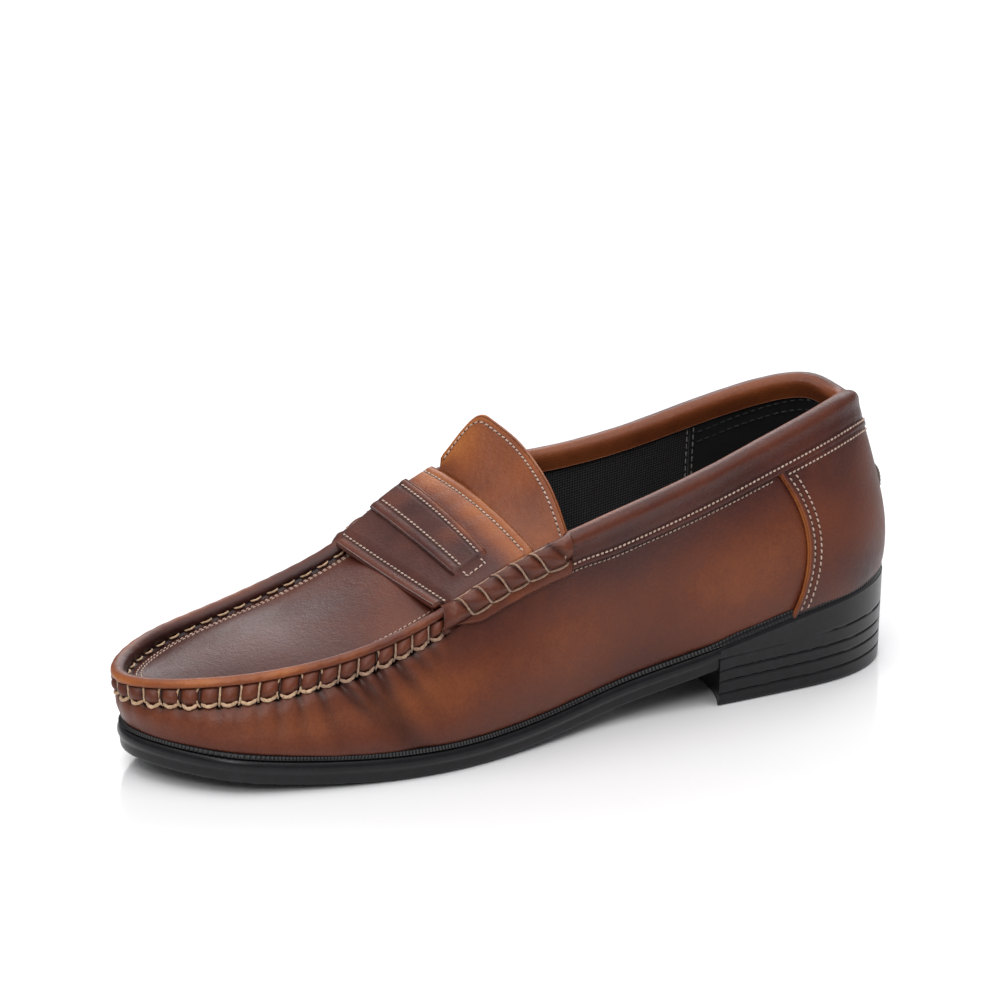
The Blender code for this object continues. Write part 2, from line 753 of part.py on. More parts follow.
def make_side_panel(finish):
    """One-piece vamp and quarters, with its lasting margin turned under."""
    lap = laps(QUARTER_END_LAP, LAP - QUARTER_END_LAP)
    columns = []
    for inset in (LASTING_MARGIN, 0.6 * LASTING_MARGIN, 1.2 * MM):
        plan = sole_point(lap, FEATHER_INSET + inset)
        height = feather_height(plan[:, 1]) + GAP
        columns.append(np.concatenate([plan, height[:, None]], 1))
    seam = seam_share(lap)
    columns += wall_columns(lap, UPPER_LEATHER, PILLOW_DROP + 3.5 * MM, 0)
    # drop where the seam shows, drop behind it, swell
    top_steps = ((PILLOW_DROP, 8.0 * MM, PILLOW_SWELL), (3.8 * MM, 6.5 * MM, 0),
                 (2.2 * MM, 5.0 * MM, 0))
    for at_seam, elsewhere, swell in top_steps:
        drop = elsewhere + (at_seam - elsewhere) * seam
        columns.append(wall_drop(lap, drop, swell * seam))
    grid = facing(np.stack(columns, 1), (0, -1, 0))
    return sheet("side_panel", grid, UPPER_LEATHER, finish)


def make_back_counter(finish):
    """Outer heel piece with a front edge that bows forward in the middle."""
    rises = np.linspace(0, 1, 8)
    rows = []
    for rise in rises:
        front_lap = 3.02 - 0.42 * math.sin(math.pi * (0.1 + 0.8 * rise))
        lap = np.linspace(-front_lap, front_lap, 25)
        height = wall_height(lap)
        low = 3.2 * MM
        high = height - COLLAR_BAND - 0.4 * MM
        rows.append(wall(lap, (low + (high - low) * rise) / height, GAP + UPPER_LEATHER))
    grid = facing(np.stack(rows, 0), (0, 1, 0))
    return sheet("back_counter", grid, UPPER_LEATHER, finish)


def collar_laps():
    return laps(-COLLAR_START_LAP, COLLAR_START_LAP)


def collar_path(lap):
    """Visible face of the collar from its stitched edge over the roll and inside."""
    face = COLLAR_FACE
    inside = face - 2 * COLLAR_ROLL
    steps = ((COLLAR_BAND, face), (0.6 * COLLAR_BAND, face), (3.2 * MM, face),
             (0.9 * MM, face - 1.0 * MM), (0.0, face - COLLAR_ROLL),
             (0.9 * MM, inside + 1.0 * MM), (3.2 * MM, inside), (COLLAR_INNER_LEG, inside))
    return np.stack([wall_drop(lap, drop, out) for drop, out in steps], 1)


def make_collar(finish):
    grid = facing(collar_path(collar_laps()), (0, 0, 1))
    return sheet("collar_binding", grid, COLLAR_LEATHER, finish)


def make_collar_padding(finish):
    """Foam cord inside the rolled top edge."""
    lap = collar_laps()[1:-1]
    middle_out = COLLAR_FACE - COLLAR_ROLL
    sections = []
    for angle in np.arange(6) * math.pi / 3:
        drop = 2.55 * MM - 1.0 * MM * math.cos(angle)
        sections.append(wall_drop(lap, drop, middle_out + 1.5 * MM * math.sin(angle)))
    return swept_ring("collar_padding", np.stack(sections, 1), finish)


def apron_sides(lap):
    """Folded lip and inner face of the seam ridge, outside edge first."""
    steps = ((LIP_DROP, 1.6 * MM), (1.1 * MM, 1.6 * MM), (0.0, 0.5 * MM),
             (0.1 * MM, -1.9 * MM), (1.2 * MM, -3.1 * MM), (3.6 * MM, -3.2 * MM))
    return np.stack([wall_drop(lap, drop, out) for drop, out in steps], 1)


def apron_crown(left_lap):
    toe_share = (left_lap - SADDLE_REAR_LAP) / (TOE_LAP - SADDLE_REAR_LAP)
    return APRON_CROWN * (1 - toe_share ** 5)


def apron_field(left_lap, extra_drop=0.0, extra_in=0.0, columns=9):
    """Rows across the flat top of the toe between the two ridges."""
    left = wall_drop(left_lap, RIDGE_DEPTH + extra_drop, -RIDGE_INSIDE - extra_in)
    right = wall_drop(LAP - left_lap, RIDGE_DEPTH + extra_drop, -RIDGE_INSIDE - extra_in)
    return across(left, right, np.linspace(0, 1, columns), apron_crown(left_lap))


def make_apron(finish):
    left_lap, right_lap = mirror_rows(SADDLE_REAR_LAP + 0.12)
    rows = np.concatenate([apron_sides(left_lap), apron_field(left_lap),
                           apron_sides(right_lap)[:, ::-1]], axis=1)
    return sheet("apron", facing(rows, (0, 0, 1)), COLLAR_LEATHER, finish)


def saddle_rows(left_lap, right_lap, height, shares):
    """Rows across the instep at a height above the seam ridges."""
    left = wall_drop(left_lap, -height, 1.1 * MM)
    right = wall_drop(LAP - right_lap, -height, 1.1 * MM)
    rear_share = (SADDLE_FRONT_LAP - left_lap) / (SADDLE_FRONT_LAP - SADDLE_REAR_LAP)
    crown = (0.5 + 2.3 * ease(rear_share)) * MM
    return across(left, right, shares, crown)


def make_saddle_strap(finish):
    height = GAP + STRAP_LEATHER + 0.3 * MM
    lap = np.linspace(SADDLE_FRONT_LAP, SADDLE_REAR_LAP, 9)
    rows = saddle_rows(lap, lap, height, np.linspace(0, 1, 15))
    return sheet("saddle_strap", facing(rows, (0, 0, 1)), STRAP_LEATHER, finish)


def make_penny_keeper(finish):
    """Raised strip across the saddle."""
    height = 2 * GAP + 2 * STRAP_LEATHER + 0.6 * MM
    left_lap = np.linspace(*KEEPER_LEFT_LAPS, 4)
    right_lap = np.linspace(*KEEPER_RIGHT_LAPS, 4)
    rows = saddle_rows(left_lap, right_lap, height, np.linspace(0.11, 0.92, 14))
    return sheet("penny_keeper", facing(rows, (0, 0, 1)), STRAP_LEATHER - 0.1 * MM, finish)


def roll_section(lap, swell, spread):
    """Cross section of the beef roll: padded half round with a flat flange."""
    # drop, out, how much of the padding's swell the point takes
    steps = ((1.0, 2.2, 0.0), (1.5, 4.1, 0.5), (3.1, 5.4, 1.0), (5.6, 5.9, 1.0),
             (7.9, 4.9, 0.8), (9.5, 2.6, 0.2), (14.0, 2.1, 0.0), (14.2, 0.9, 0.0),
             (9.2, 0.9, 0.0), (4.3, 0.9, 0.0), (4.0, 2.2, 0.0))
    points = []
    for drop, out, puffed in steps:
        out_now = out - (1 - swell) * 1.6 * puffed
        drop_now = 4.0 + (drop - 4.0) * (spread if drop > 4.0 else 1)
        points.append(wall_drop(lap, drop_now * MM, out_now * MM))
    return points


def roll_spread(share):
    """The roll is narrower at its front end than at its rear end."""
    return 0.78 + 0.22 * share


def roll_laps(side):
    values = np.linspace(ROLL_FRONT_LAP, ROLL_REAR_LAP, 15)
    return values if side == "left" else LAP - values


def make_beef_roll(name, side, finish):
    lap = roll_laps(side)
    share = np.linspace(0, 1, len(lap))
    swell = ease(np.minimum(share, 1 - share) / 0.12)
    sections = [roll_section(np.array(value), puff, roll_spread(along))
                for value, puff, along in zip(lap, swell, share)]
    return swept_ring(name, np.array(sections), finish)


def whipped_path(stitches, start, end, steps):
    """Whipping thread: across by the steps, along one edge, back across, along the other."""
    path = []
    for stitch in range(stitches):
        here = start + (end - start) * stitch / stitches
        halfway = here + (end - start) * 0.5 / stitches
        ordered = steps if stitch % 2 == 0 else steps[::-1]
        for drop, out in ordered:
            path.append(wall_drop(np.array(here), drop * MM, out * MM))
        drop, out = ordered[-1]
        path.append(wall_drop(np.array(halfway), drop * MM, out * MM))
    return path


def make_roll_thread(name, side, finish):
    lap = roll_laps(side)
    steps = ((0.2, 4.1), (0.6, 5.7), (2.9, 7.1), (5.5, 7.5), (8.4, 6.3), (10.4, 3.9))
    path = whipped_path(ROLL_STITCHES, lap[2], lap[-3], steps)
    return tube(name, path, THREAD_RADIUS, 5, finish)


def make_seam_thread(finish):
    """Thick hand-sewn thread whipped over the ridge round the toe."""
    start = SADDLE_FRONT_LAP + 0.1
    steps = ((2.2, -4.8), (0.5, -4.6), (-1.1, -3.0), (-1.3, 0.7), (0.1, 2.7),
             (3.4, 2.9), (6.2, 2.5), (8.8, 1.3))
    path = whipped_path(SEAM_STITCHES, start, LAP - start, steps)
    return tube("seam_thread", path, THREAD_RADIUS, 4, finish)


def make_backstay_thread(finish):
    """Whipped thread standing proud down the back of the heel."""
    out = GAP + UPPER_LEATHER + 0.5 * MM + THREAD_RADIUS
    path = []
    for stitch in range(BACKSTAY_STITCHES + 1):
        side = BACKSTAY_HALF_LAP if stitch % 2 == 0 else -BACKSTAY_HALF_LAP
        drop = BACKSTAY_DROP + BACKSTAY_LENGTH * stitch / BACKSTAY_STITCHES
        for lap in (-side, side):
            path.append(wall_drop(np.array(lap), drop, out))
    return tube("backstay_thread", path, THREAD_RADIUS, 5, finish)


# ---- tongue -------------------------------------------------------------
def tongue_grid(inset=0.0, depth=0.0, rows=7, columns=15):
    """Tongue face from the line it bends about to its free edge."""
    root = open_curve(np.array(TONGUE_ROOT) * MM)
    edge = open_curve(np.array(TONGUE_EDGE) * MM)
    across_share = np.linspace(inset, 1 - inset, columns)
    along_share = np.linspace(0, 1 - inset, rows)
    low = root(across_share)
    high = edge(across_share)
    grid = low[None] + (high - low)[None] * along_share[:, None, None]
    sag = 1.2 * MM * np.sin(math.pi * along_share)
    grid[..., 2] -= sag[:, None]
    grid[..., 2] -= depth
    return grid


def make_tongue(finish):
    grid = facing(tongue_grid(), (0, -0.5, 1))
    return sheet("tongue", grid, TONGUE_THICKNESS, finish)


def make_tongue_lining(finish):
    grid = facing(tongue_grid(inset=0.03), (0, -0.5, 1))
    points = grid.reshape(-1, 3)
    faces = grid_faces(*grid.shape[:2])
    normals = face_normals(points, faces).reshape(grid.shape)
    lower = grid - normals * (TONGUE_THICKNESS + GAP)
    return sheet("tongue_lining", lower, TONGUE_LINING_THICKNESS, finish)


# ---- linings and stiffeners ---------------------------------------------
LINING_OUT = -(UPPER_LEATHER + GAP + STIFFENER + GAP)
LINING_LIFT = 2.2 * MM
LINING_TOP_DROP = 5.2 * MM


def wall_lining(name, start, end, finish):
    """Strip of lining from the insole up to the rolled edge."""
    lap = laps(start, end)
    grid = np.stack(wall_columns(lap, LINING_LIFT, LINING_TOP_DROP, LINING_OUT), 1)
    middle = grid[len(lap) // 2, 0]
    hint = (middle[0], middle[1] * 0.2, 0)
    return sheet(name, facing(grid, hint), LINING_CLOTH, finish)


def make_vamp_lining(finish):
    """Lining of the toe box: up one side, under the apron and down the other."""
    left_lap, right_lap = mirror_rows(SADDLE_REAR_LAP + 0.1)

    def side(lap):
        height = wall_height(lap)
        top = RIDGE_DEPTH + 4.0 * MM
        columns = []
        for share in (0.0, 0.5, 1.0):
            lift = LINING_LIFT + (height - top - LINING_LIFT) * share
            columns.append(wall(lap, lift / height, LINING_OUT))
        return np.stack(columns, 1)

    field = apron_field(left_lap, extra_drop=2.2 * MM, extra_in=2.6 * MM, columns=7)
    rows = np.concatenate([side(left_lap), field, side(right_lap)[:, ::-1]], axis=1)
    return sheet("vamp_lining", facing(rows, (0, 0, 1)), LINING_CLOTH, finish)


def make_toe_puff(finish):
    lap = laps(TOE_LAP - 2, TOE_LAP + 2)
    columns = wall_columns(lap, LINING_LIFT, RIDGE_DEPTH + 3 * MM, -UPPER_LEATHER - GAP)
    grid = facing(np.stack(columns[::2], 1), (0, -1, 0))
    return sheet("toe_puff", grid, STIFFENER, finish)


def make_heel_stiffener(finish):
    lap = laps(-3.0, 3.0)
    columns = wall_columns(lap, LINING_LIFT, COLLAR_BAND, -UPPER_LEATHER - GAP)
    grid = facing(np.stack(columns, 1), (0, 1, 0))
    return sheet("heel_stiffener", grid, STIFFENER, finish)


# ---- assembly -----------------------------------------------------------
def make_bottom():
    outsole = make_outsole(BLACK_RUBBER)
    block = make_heel_block(BLACK_RUBBER)
    make_top_lift(BLACK_RUBBER)
    make_rand(BLACK_RUBBER)
    board = make_insole_board(INSOLE_FIBRE)
    make_sock_liner(GRIP_LINING)
    make_heel_pad(FOAM)
    make_filler(CORK)
    make_shank(STEEL)
    for number, spot in enumerate(NAIL_SPOTS, start=1):
        bore_for_nail((board, outsole, block), spot, STEEL)
        make_nail(number, spot, STEEL)


def make_upper():
    make_side_panel(SIDE_LEATHER)
    make_back_counter(SIDE_LEATHER)
    make_apron(APRON_LEATHER)
    make_saddle_strap(SADDLE_LEATHER)
    make_penny_keeper(SADDLE_LEATHER)
    for side in ("left", "right"):
        make_beef_roll(f"beef_roll_{side}", side, SADDLE_LEATHER)
        make_roll_thread(f"beef_roll_thread_{side}", side, THREAD_COTTON)
    make_seam_thread(THREAD_COTTON)
    make_backstay_thread(THREAD_COTTON)
    make_collar(COLLAR_FINISH)
    make_collar_padding(FOAM)


def make_inside():
    make_vamp_lining(MESH_CLOTH)
    front = SADDLE_REAR_LAP - 0.02
    rear = HEEL_LINING_LAP + 0.06
    wall_lining("quarter_lining_left", rear, front, MESH_CLOTH)
    wall_lining("quarter_lining_right", LAP - front, LAP - rear, MESH_CLOTH)
    wall_lining("heel_lining", -HEEL_LINING_LAP, HEEL_LINING_LAP, GRIP_LINING)
    make_toe_puff(STIFF_BOARD)
    make_heel_stiffener(STIFF_BOARD)


def make_tongue_flap():
    return [make_tongue(TONGUE_LEATHER), make_tongue_lining(MESH_CLOTH)]


def centre_on_floor(objects):
    """Put the middle of the shoe's box over the origin, resting on the floor."""
    points = np.array([vertex.co for obj in objects for vertex in obj.data.vertices])
    low, high = points.min(0), points.max(0)
    move = Matrix.Translation((-(low[0] + high[0]) / 2, -(low[1] + high[1]) / 2, -low[2]))
    for obj in objects:
        obj.data.transform(move)
    return np.array(move.translation)


def set_hinge_origin(objects, moved):
    """Put the origin of each tongue piece on the line the tongue bends about."""
    hinge = np.array(TONGUE_HINGE) * MM + moved
    for obj in objects:
        obj.data.transform(Matrix.Translation(-hinge))
        obj.location = hinge


def main():
    for old in list(bpy.data.objects):
        bpy.data.objects.remove(old, do_unlink=True)
    make_bottom()
    make_upper()
    make_inside()
    flap = make_tongue_flap()
    moved = centre_on_floor(list(bpy.context.scene.objects))
    set_hinge_origin(flap, moved)


main()
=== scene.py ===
"""The looks of the penny loafer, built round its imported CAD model.

Every upper piece lies on the same wall surface as in the CAD model.  A place on it
is given by "lap", the position round the shoe counted in stations (0 at the back of
the heel, 12 at the toe tip, the wearer's left side first), by "drop", the distance
down from the top line, and by "out", the distance outside the leather face.
All lengths are metres.
"""

import json
import math

import bmesh
import bpy
import numpy as np
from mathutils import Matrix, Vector
from mathutils.bvhtree import BVHTree


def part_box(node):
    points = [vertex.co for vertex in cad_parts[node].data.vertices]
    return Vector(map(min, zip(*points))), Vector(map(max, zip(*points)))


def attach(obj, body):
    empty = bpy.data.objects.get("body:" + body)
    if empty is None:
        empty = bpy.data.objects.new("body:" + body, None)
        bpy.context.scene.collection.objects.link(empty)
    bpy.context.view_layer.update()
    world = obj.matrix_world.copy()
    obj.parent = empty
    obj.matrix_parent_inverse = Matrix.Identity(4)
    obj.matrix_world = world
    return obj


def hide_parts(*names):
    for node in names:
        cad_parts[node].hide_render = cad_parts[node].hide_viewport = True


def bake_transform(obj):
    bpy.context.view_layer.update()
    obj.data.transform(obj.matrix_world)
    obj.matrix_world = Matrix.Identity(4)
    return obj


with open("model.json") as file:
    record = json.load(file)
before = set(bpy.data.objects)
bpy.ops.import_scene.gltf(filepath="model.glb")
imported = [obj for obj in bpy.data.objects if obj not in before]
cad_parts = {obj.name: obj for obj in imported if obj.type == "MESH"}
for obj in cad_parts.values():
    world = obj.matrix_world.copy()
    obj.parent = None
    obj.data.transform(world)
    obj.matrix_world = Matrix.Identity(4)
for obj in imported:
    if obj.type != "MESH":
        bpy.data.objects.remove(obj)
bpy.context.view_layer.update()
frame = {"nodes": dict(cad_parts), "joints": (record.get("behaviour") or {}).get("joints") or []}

MM = 0.001

# ---- sizes the CAD model was made with ----------------------------------
SOLE_THICKNESS = 9.3 * MM
FEATHER_INSET = 2.6 * MM
RIDGE_DEPTH = 4.6 * MM
RIDGE_INSIDE = 3.4 * MM
FIELD_OUT = -RIDGE_INSIDE - 1.6 * MM     # where the apron's field meets its ridge
APRON_CROWN = 3.6 * MM
COLLAR_BAND = 14 * MM
SADDLE_FRONT_LAP = 8.1
SADDLE_REAR_LAP = 6.55
COLLAR_START_LAP = 5.93
QUARTER_END_LAP = 2.35
BACKSTAY_DROP = COLLAR_BAND + 17 * MM
BACKSTAY_LENGTH = 11 * MM
HEEL_LINING_LAP = 3.0
HEEL_BREAST_HOLLOW = 9 * MM

# Stations round the shoe in millimetres: sole edge x, y, top line x, y, z, side bulge.
STATIONS = (
    (0, 151.5, 0, 138, 98.5, 4.4),
    (20, 143.5, 13, 132.3, 102, 4.2),
    (33.5, 121, 21.5, 113.5, 100, 4.2),
    (36.5, 92, 26.5, 88, 94, 4.2),
    (37, 60, 31, 60, 87, 3.2),
    (36.5, 28, 35.5, 30, 81, 2.5),
    (41.5, -2, 36.5, 1, 74.5, 2.5),
    (47.5, -30, 36, -24, 66.5, 3.0),
    (50, -56, 36, -48, 56, 3.0),
    (46.5, -85, 34, -75, 46.8, 3.0),
    (38.5, -114, 27.5, -102, 41.2, 3.0),
    (25, -136, 15, -130, 38, 2.5),
    (-7, -150.5, -9, -149.5, 36.5, 1.0),
    (-34.5, -133, -30.5, -130.5, 39, 2.0),
    (-46, -110, -36.5, -104, 43, 2.5),
    (-52, -82, -38.5, -76, 49, 3.0),
    (-51.5, -57, -37, -49, 59.5, 3.0),
    (-44, -27, -34.5, -24, 75, 3.5),
    (-34, 3, -35, 2, 82.5, 4.5),
    (-29.5, 32, -35, 30, 83, 4.5),
    (-30, 62, -31, 60, 87, 4.5),
    (-33, 92, -26.5, 88, 94, 4.5),
    (-32, 121, -21.5, 113.5, 100, 4.2),
    (-20, 143.5, -13, 132.3, 102, 4.2),
)
LAP = len(STATIONS)
TOE_LAP = LAP / 2
FEATHER_HEIGHTS = (
    (-152, 16.5), (-105, 11.3), (-68, 9.3), (-36, 9.3), (-8, 11.0),
    (30, 16.4), (65, 22.3), (110, 30.4), (152, 34.6),
)
TONGUE_ROOT = ((28.5, -9, 70), (12, -9.6, 75), (-4, -9.8, 78.6),
               (-18, -9.8, 81), (-29, -9.4, 81.6))
TONGUE_EDGE = ((29, 3.5, 75), (18, 6.5, 83.5), (4, 7.2, 91), (-10, 7.2, 96),
               (-21, 4.5, 100), (-27.5, 0, 100), (-30, -5, 91.5))
SWELL_SKEW = 0.65

# ---- sizes of the fine detail -------------------------------------------
SIDE_LEATHER = 1.4 * MM          # thicknesses
APRON_LEATHER = 1.2 * MM
SADDLE_LEATHER = 1.9 * MM
STRIP_LEATHER = 1.3 * MM
COLLAR_LEATHER = 1.1 * MM
TONGUE_LEATHER = 1.5 * MM
TONGUE_CLOTH = 0.5 * MM
SIDE_CLOTH = 0.7 * MM
SOCK_CLOTH = 1.1 * MM
SEAM_PITCH = 7.15 * MM           # hand-sewn seam, hole to hole
SEAM_HOLE_DROP = 8.5 * MM
SEAM_THREAD = 0.58 * MM          # radius
SEAM_CROSS_THREAD = 0.36 * MM
SEAM_BAND = 14 * MM              # part of the side with the seam's gathers
SEAM_TOP = 2.2 * MM              # the side's leather starts this far below the top line
PILLOW_TOP = 2.6 * MM            # the gathers start here, under the apron's lip
PILLOW_HEIGHT = 2.25 * MM
BRIGHT_LAPS = 2.4                # the seam thread is brightest this far round the toe
FINE_PITCH = 2.3 * MM            # machine stitches
FINE_THREAD = 0.34 * MM
STITCH_SHARE = 0.72              # part of the pitch that the thread fills
STITCH_SLANT = 0.14              # radians off the row's line
STITCH_RISE = 0.35               # how far a stitch stands up, in radii
PLY_BULGE = 0.16                 # how far each ply of a thread swells, in radii
ROLL_PITCH_LAPS = 0.3075
BACKSTAY_TURNS = 10
BACKSTAY_THREAD = 0.72 * MM      # radius
BACKSTAY_HALF_LAP = 0.125
TOOTH_PITCH = 1.45 * MM


# ---- curves -------------------------------------------------------------
def spline_value(points, bend, low, high, t):
    """Cubic between two control points; bend is the curve's second derivative at each."""
    s = 1 - t
    return (s * points[low] + t * points[high]
            + ((s ** 3 - s) * bend[low] + (t ** 3 - t) * bend[high]) / 6)


def closed_curve(points):
    """Smooth closed curve through equally spaced control points."""
    points = np.asarray(points, float)
    count = len(points)
    shift = np.eye(count)[(np.arange(count) + 1) % count]
    system = 4 * np.eye(count) + shift + shift.T
    bend = np.linalg.solve(system, 6 * (shift @ points - 2 * points + shift.T @ points))

    def at(place):
        place = np.asarray(place, float)[..., None] % count
        low = np.floor(place).astype(int)
        t = place - low
        low = low[..., 0] % count
        return spline_value(points, bend, low, (low + 1) % count, t)

    return at


def open_curve(points):
    """Smooth curve from 0 to 1 through equally spaced control points."""
    points = np.asarray(points, float)
    count = len(points)
    system = 4 * np.eye(count) + np.eye(count, k=1) + np.eye(count, k=-1)
    system[0] = np.eye(count)[0]
    system[-1] = np.eye(count)[-1]
    right = np.zeros_like(points)
    right[1:-1] = 6 * (points[2:] - 2 * points[1:-1] + points[:-2])
    bend = np.linalg.solve(system, right)

    def at(place):
        place = np.clip(np.asarray(place, float), 0, 1)[..., None] * (count - 1)
        low = np.minimum(np.floor(place).astype(int), count - 2)
        t = place - low
        low = low[..., 0]
        return spline_value(points, bend, low, low + 1, t)

    return at


def profile_points(profile, count, scale=MM):
    """Points along the smooth curve through a profile, which is written in millimetres."""
    return open_curve(np.array(profile) * scale)(np.linspace(0, 1, count))


def run_length(path):
    """Distance travelled along a path, at each of its points."""
    return np.concatenate([[0], np.cumsum(np.linalg.norm(np.diff(path, axis=0), axis=1))])


def ease(t):
    """Smooth step from 0 to 1."""
    t = np.clip(t, 0, 1)
    return t * t * (3 - 2 * t)


def hump(value, middle, width):
    """Bell shape, 1 in the middle."""
    return np.exp(-((value - middle) / width) ** 2)


def smooth_noise(points, wavelength, seed, waves=16):
    """Soft random bumps of about one wavelength, mostly between -1 and 1."""
    random = np.random.default_rng(seed)
    direction = random.normal(size=(waves, 3))
    direction /= np.linalg.norm(direction, axis=1, keepdims=True)
    length = wavelength * random.uniform(0.7, 1.6, waves)
    phase = random.uniform(0, 2 * math.pi, waves)
    total = np.zeros(points.shape[:-1])
    for index in range(waves):
        total += np.sin(points @ direction[index] * (2 * math.pi / length[index]) + phase[index])
    return total / math.sqrt(2 * waves)


# ---- the wall surface, moved to where the frame holds the outsole --------
def frame_shift():
    """How far the CAD model was moved when it was centred, read from its outsole."""
    outline = closed_curve(np.array(STATIONS) * MM)(np.arange(0, LAP, 1 / 3))[:, :2]
    low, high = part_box("outsole")
    middle = (np.array(low[:2]) + np.array(high[:2])) / 2
    return middle - (outline.min(0) + outline.max(0)) / 2


SHIFT = frame_shift()
STATION_CURVE = closed_curve(np.array(STATIONS) * MM + np.array([*SHIFT, *SHIFT, 0, 0]))
HEIGHT_Y = np.array(FEATHER_HEIGHTS)[:, 0] * MM
HEIGHT_Z = np.array(FEATHER_HEIGHTS)[:, 1] * MM
HEIGHT_SLOPE = np.gradient(HEIGHT_Z, HEIGHT_Y)
SHIFT_3D = np.array([*SHIFT, 0])


def feather_height(y):
    """Height of the foot of the upper at each distance along the shoe."""
    y = np.clip(y - SHIFT[1], HEIGHT_Y[0], HEIGHT_Y[-1])
    low = np.clip(np.searchsorted(HEIGHT_Y, y, side="right") - 1, 0, len(HEIGHT_Y) - 2)
    span = HEIGHT_Y[low + 1] - HEIGHT_Y[low]
    t = (y - HEIGHT_Y[low]) / span
    return ((1 + 2 * t) * (1 - t) ** 2 * HEIGHT_Z[low]
            + t * (1 - t) ** 2 * span * HEIGHT_SLOPE[low]
            + t * t * (3 - 2 * t) * HEIGHT_Z[low + 1]
            + t * t * (t - 1) * span * HEIGHT_SLOPE[low + 1])


def sole_bottom(y):
    return np.maximum(feather_height(y) - SOLE_THICKNESS, 0)


def edge_normal(lap):
    """Outward direction of the sole edge, seen from above."""
    along = STATION_CURVE(lap + 0.02)[..., :2] - STATION_CURVE(lap - 0.02)[..., :2]
    normal = np.stack([-along[..., 1], along[..., 0]], -1)
    return normal / np.linalg.norm(normal, axis=-1, keepdims=True)


def sole_point(lap, inset):
    """Point on the plan outline moved inward, x and y only."""
    lap, inset = np.broadcast_arrays(np.asarray(lap, float), np.asarray(inset, float))
    return STATION_CURVE(lap)[..., :2] - edge_normal(lap) * inset[..., None]


def wall_face(lap, rise):
    """Leather face of the wall; rise is 0 at the sole and 1 at the top line."""
    station = STATION_CURVE(lap)
    foot = sole_point(lap, FEATHER_INSET)
    foot_z = feather_height(foot[..., 1])
    swell = station[..., 5] * np.sin(math.pi * np.clip(rise, 0, 1) ** SWELL_SKEW)
    plan = foot + (station[..., 2:4] - foot) * rise[..., None]
    plan = plan + edge_normal(lap) * swell[..., None]
    height = foot_z + (station[..., 4] - foot_z) * rise
    return np.concatenate([plan, height[..., None]], -1)


def wall_height(lap):
    foot = sole_point(lap, FEATHER_INSET)
    return STATION_CURVE(lap)[..., 4] - feather_height(foot[..., 1])


def wall(lap, rise, out):
    """Wall point moved outside the leather face by "out"."""
    lap, rise, out = np.broadcast_arrays(*(np.asarray(v, float) for v in (lap, rise, out)))
    step = 0.01
    along = wall_face(lap + step, rise) - wall_face(lap - step, rise)
    low = np.clip(rise - step, 0, 1)
    up = wall_face(lap, low + 2 * step) - wall_face(lap, low)
    normal = np.cross(up, along)
    normal = normal / np.linalg.norm(normal, axis=-1, keepdims=True)
    return wall_face(lap, rise) + normal * out[..., None]


def wall_drop(lap, drop, out):
    """Wall point given by its distance below the top line."""
    return wall(lap, 1 - np.asarray(drop, float) / wall_height(lap), out)


def even_laps(start, end, drop, out, pitch):
    """Lap values an even distance apart along a line on the wall."""
    fine = np.linspace(start, end, 2000)
    length = run_length(wall_drop(fine, drop, out))
    count = max(2, round(length[-1] / pitch) + 1)
    return np.interp(np.linspace(0, length[-1], count), length, fine)


SEAM_HOLES = even_laps(SADDLE_FRONT_LAP - 0.16, LAP - SADDLE_FRONT_LAP + 0.16,
                       5.6 * MM, 2 * MM, SEAM_PITCH)


def seam_phase(lap):
    """Counts the seam's holes along the lap; whole numbers are holes."""
    first = SEAM_HOLES[1] - SEAM_HOLES[0]
    last = SEAM_HOLES[-1] - SEAM_HOLES[-2]
    phase = np.interp(lap, SEAM_HOLES, np.arange(len(SEAM_HOLES)))
    before = (lap - SEAM_HOLES[0]) / first
    after = len(SEAM_HOLES) - 1 + (lap - SEAM_HOLES[-1]) / last
    return np.where(lap < SEAM_HOLES[0], before, np.where(lap > SEAM_HOLES[-1], after, phase))


def to_seam_hole(lap):
    """Distance along the seam to its nearest hole."""
    phase = seam_phase(lap)
    return (phase - np.round(phase)) * SEAM_PITCH


def lap_at_phase(phase):
    return np.interp(phase, np.arange(len(SEAM_HOLES)), SEAM_HOLES)


def seam_share(lap, width=0.25):
    """1 where the hand-sewn seam shows, 0 from the saddle back."""
    from_toe = np.abs(np.asarray(lap, float) - TOE_LAP)
    return ease((TOE_LAP - SADDLE_FRONT_LAP + 0.3 - from_toe) / width)


# ---- mesh building ------------------------------------------------------
def grid_quads(rows, columns, wrap=False):
    index = np.arange(rows * columns).reshape(rows, columns)
    if wrap:
        index = np.vstack([index, index[:1]])
    quads = (index[:-1, :-1], index[:-1, 1:], index[1:, 1:], index[1:, :-1])
    return np.stack(quads, -1).reshape(-1, 4)


def ring_quads(rings, size):
    """Faces of a tube made of rings with the same number of points."""
    index = np.arange(rings * size).reshape(rings, size)
    ahead = np.roll(index, -1, axis=1)
    return np.stack([index[:-1], ahead[:-1], ahead[1:], index[1:]], -1).reshape(-1, 4)


def grid_normals(grid):
    normal = np.cross(np.gradient(grid, axis=0), np.gradient(grid, axis=1))
    return normal / np.maximum(np.linalg.norm(normal, axis=-1, keepdims=True), 1e-12)


def facing(grid, hint):
    """True if the grid's normals look along the hint on the whole."""
    return np.sum(grid_normals(grid) @ np.asarray(hint, float)) > 0


def normals_towards(grid, hint):
    """Unit normals of a grid, on the side that the hint points to."""
    normals = grid_normals(grid)
    return normals if facing(grid, hint) else -normals


def linked(name, data):
    """New object in the scene that holds a mesh, a lamp or a camera."""
    obj = bpy.data.objects.new(name, data)
    bpy.context.scene.collection.objects.link(obj)
    return obj


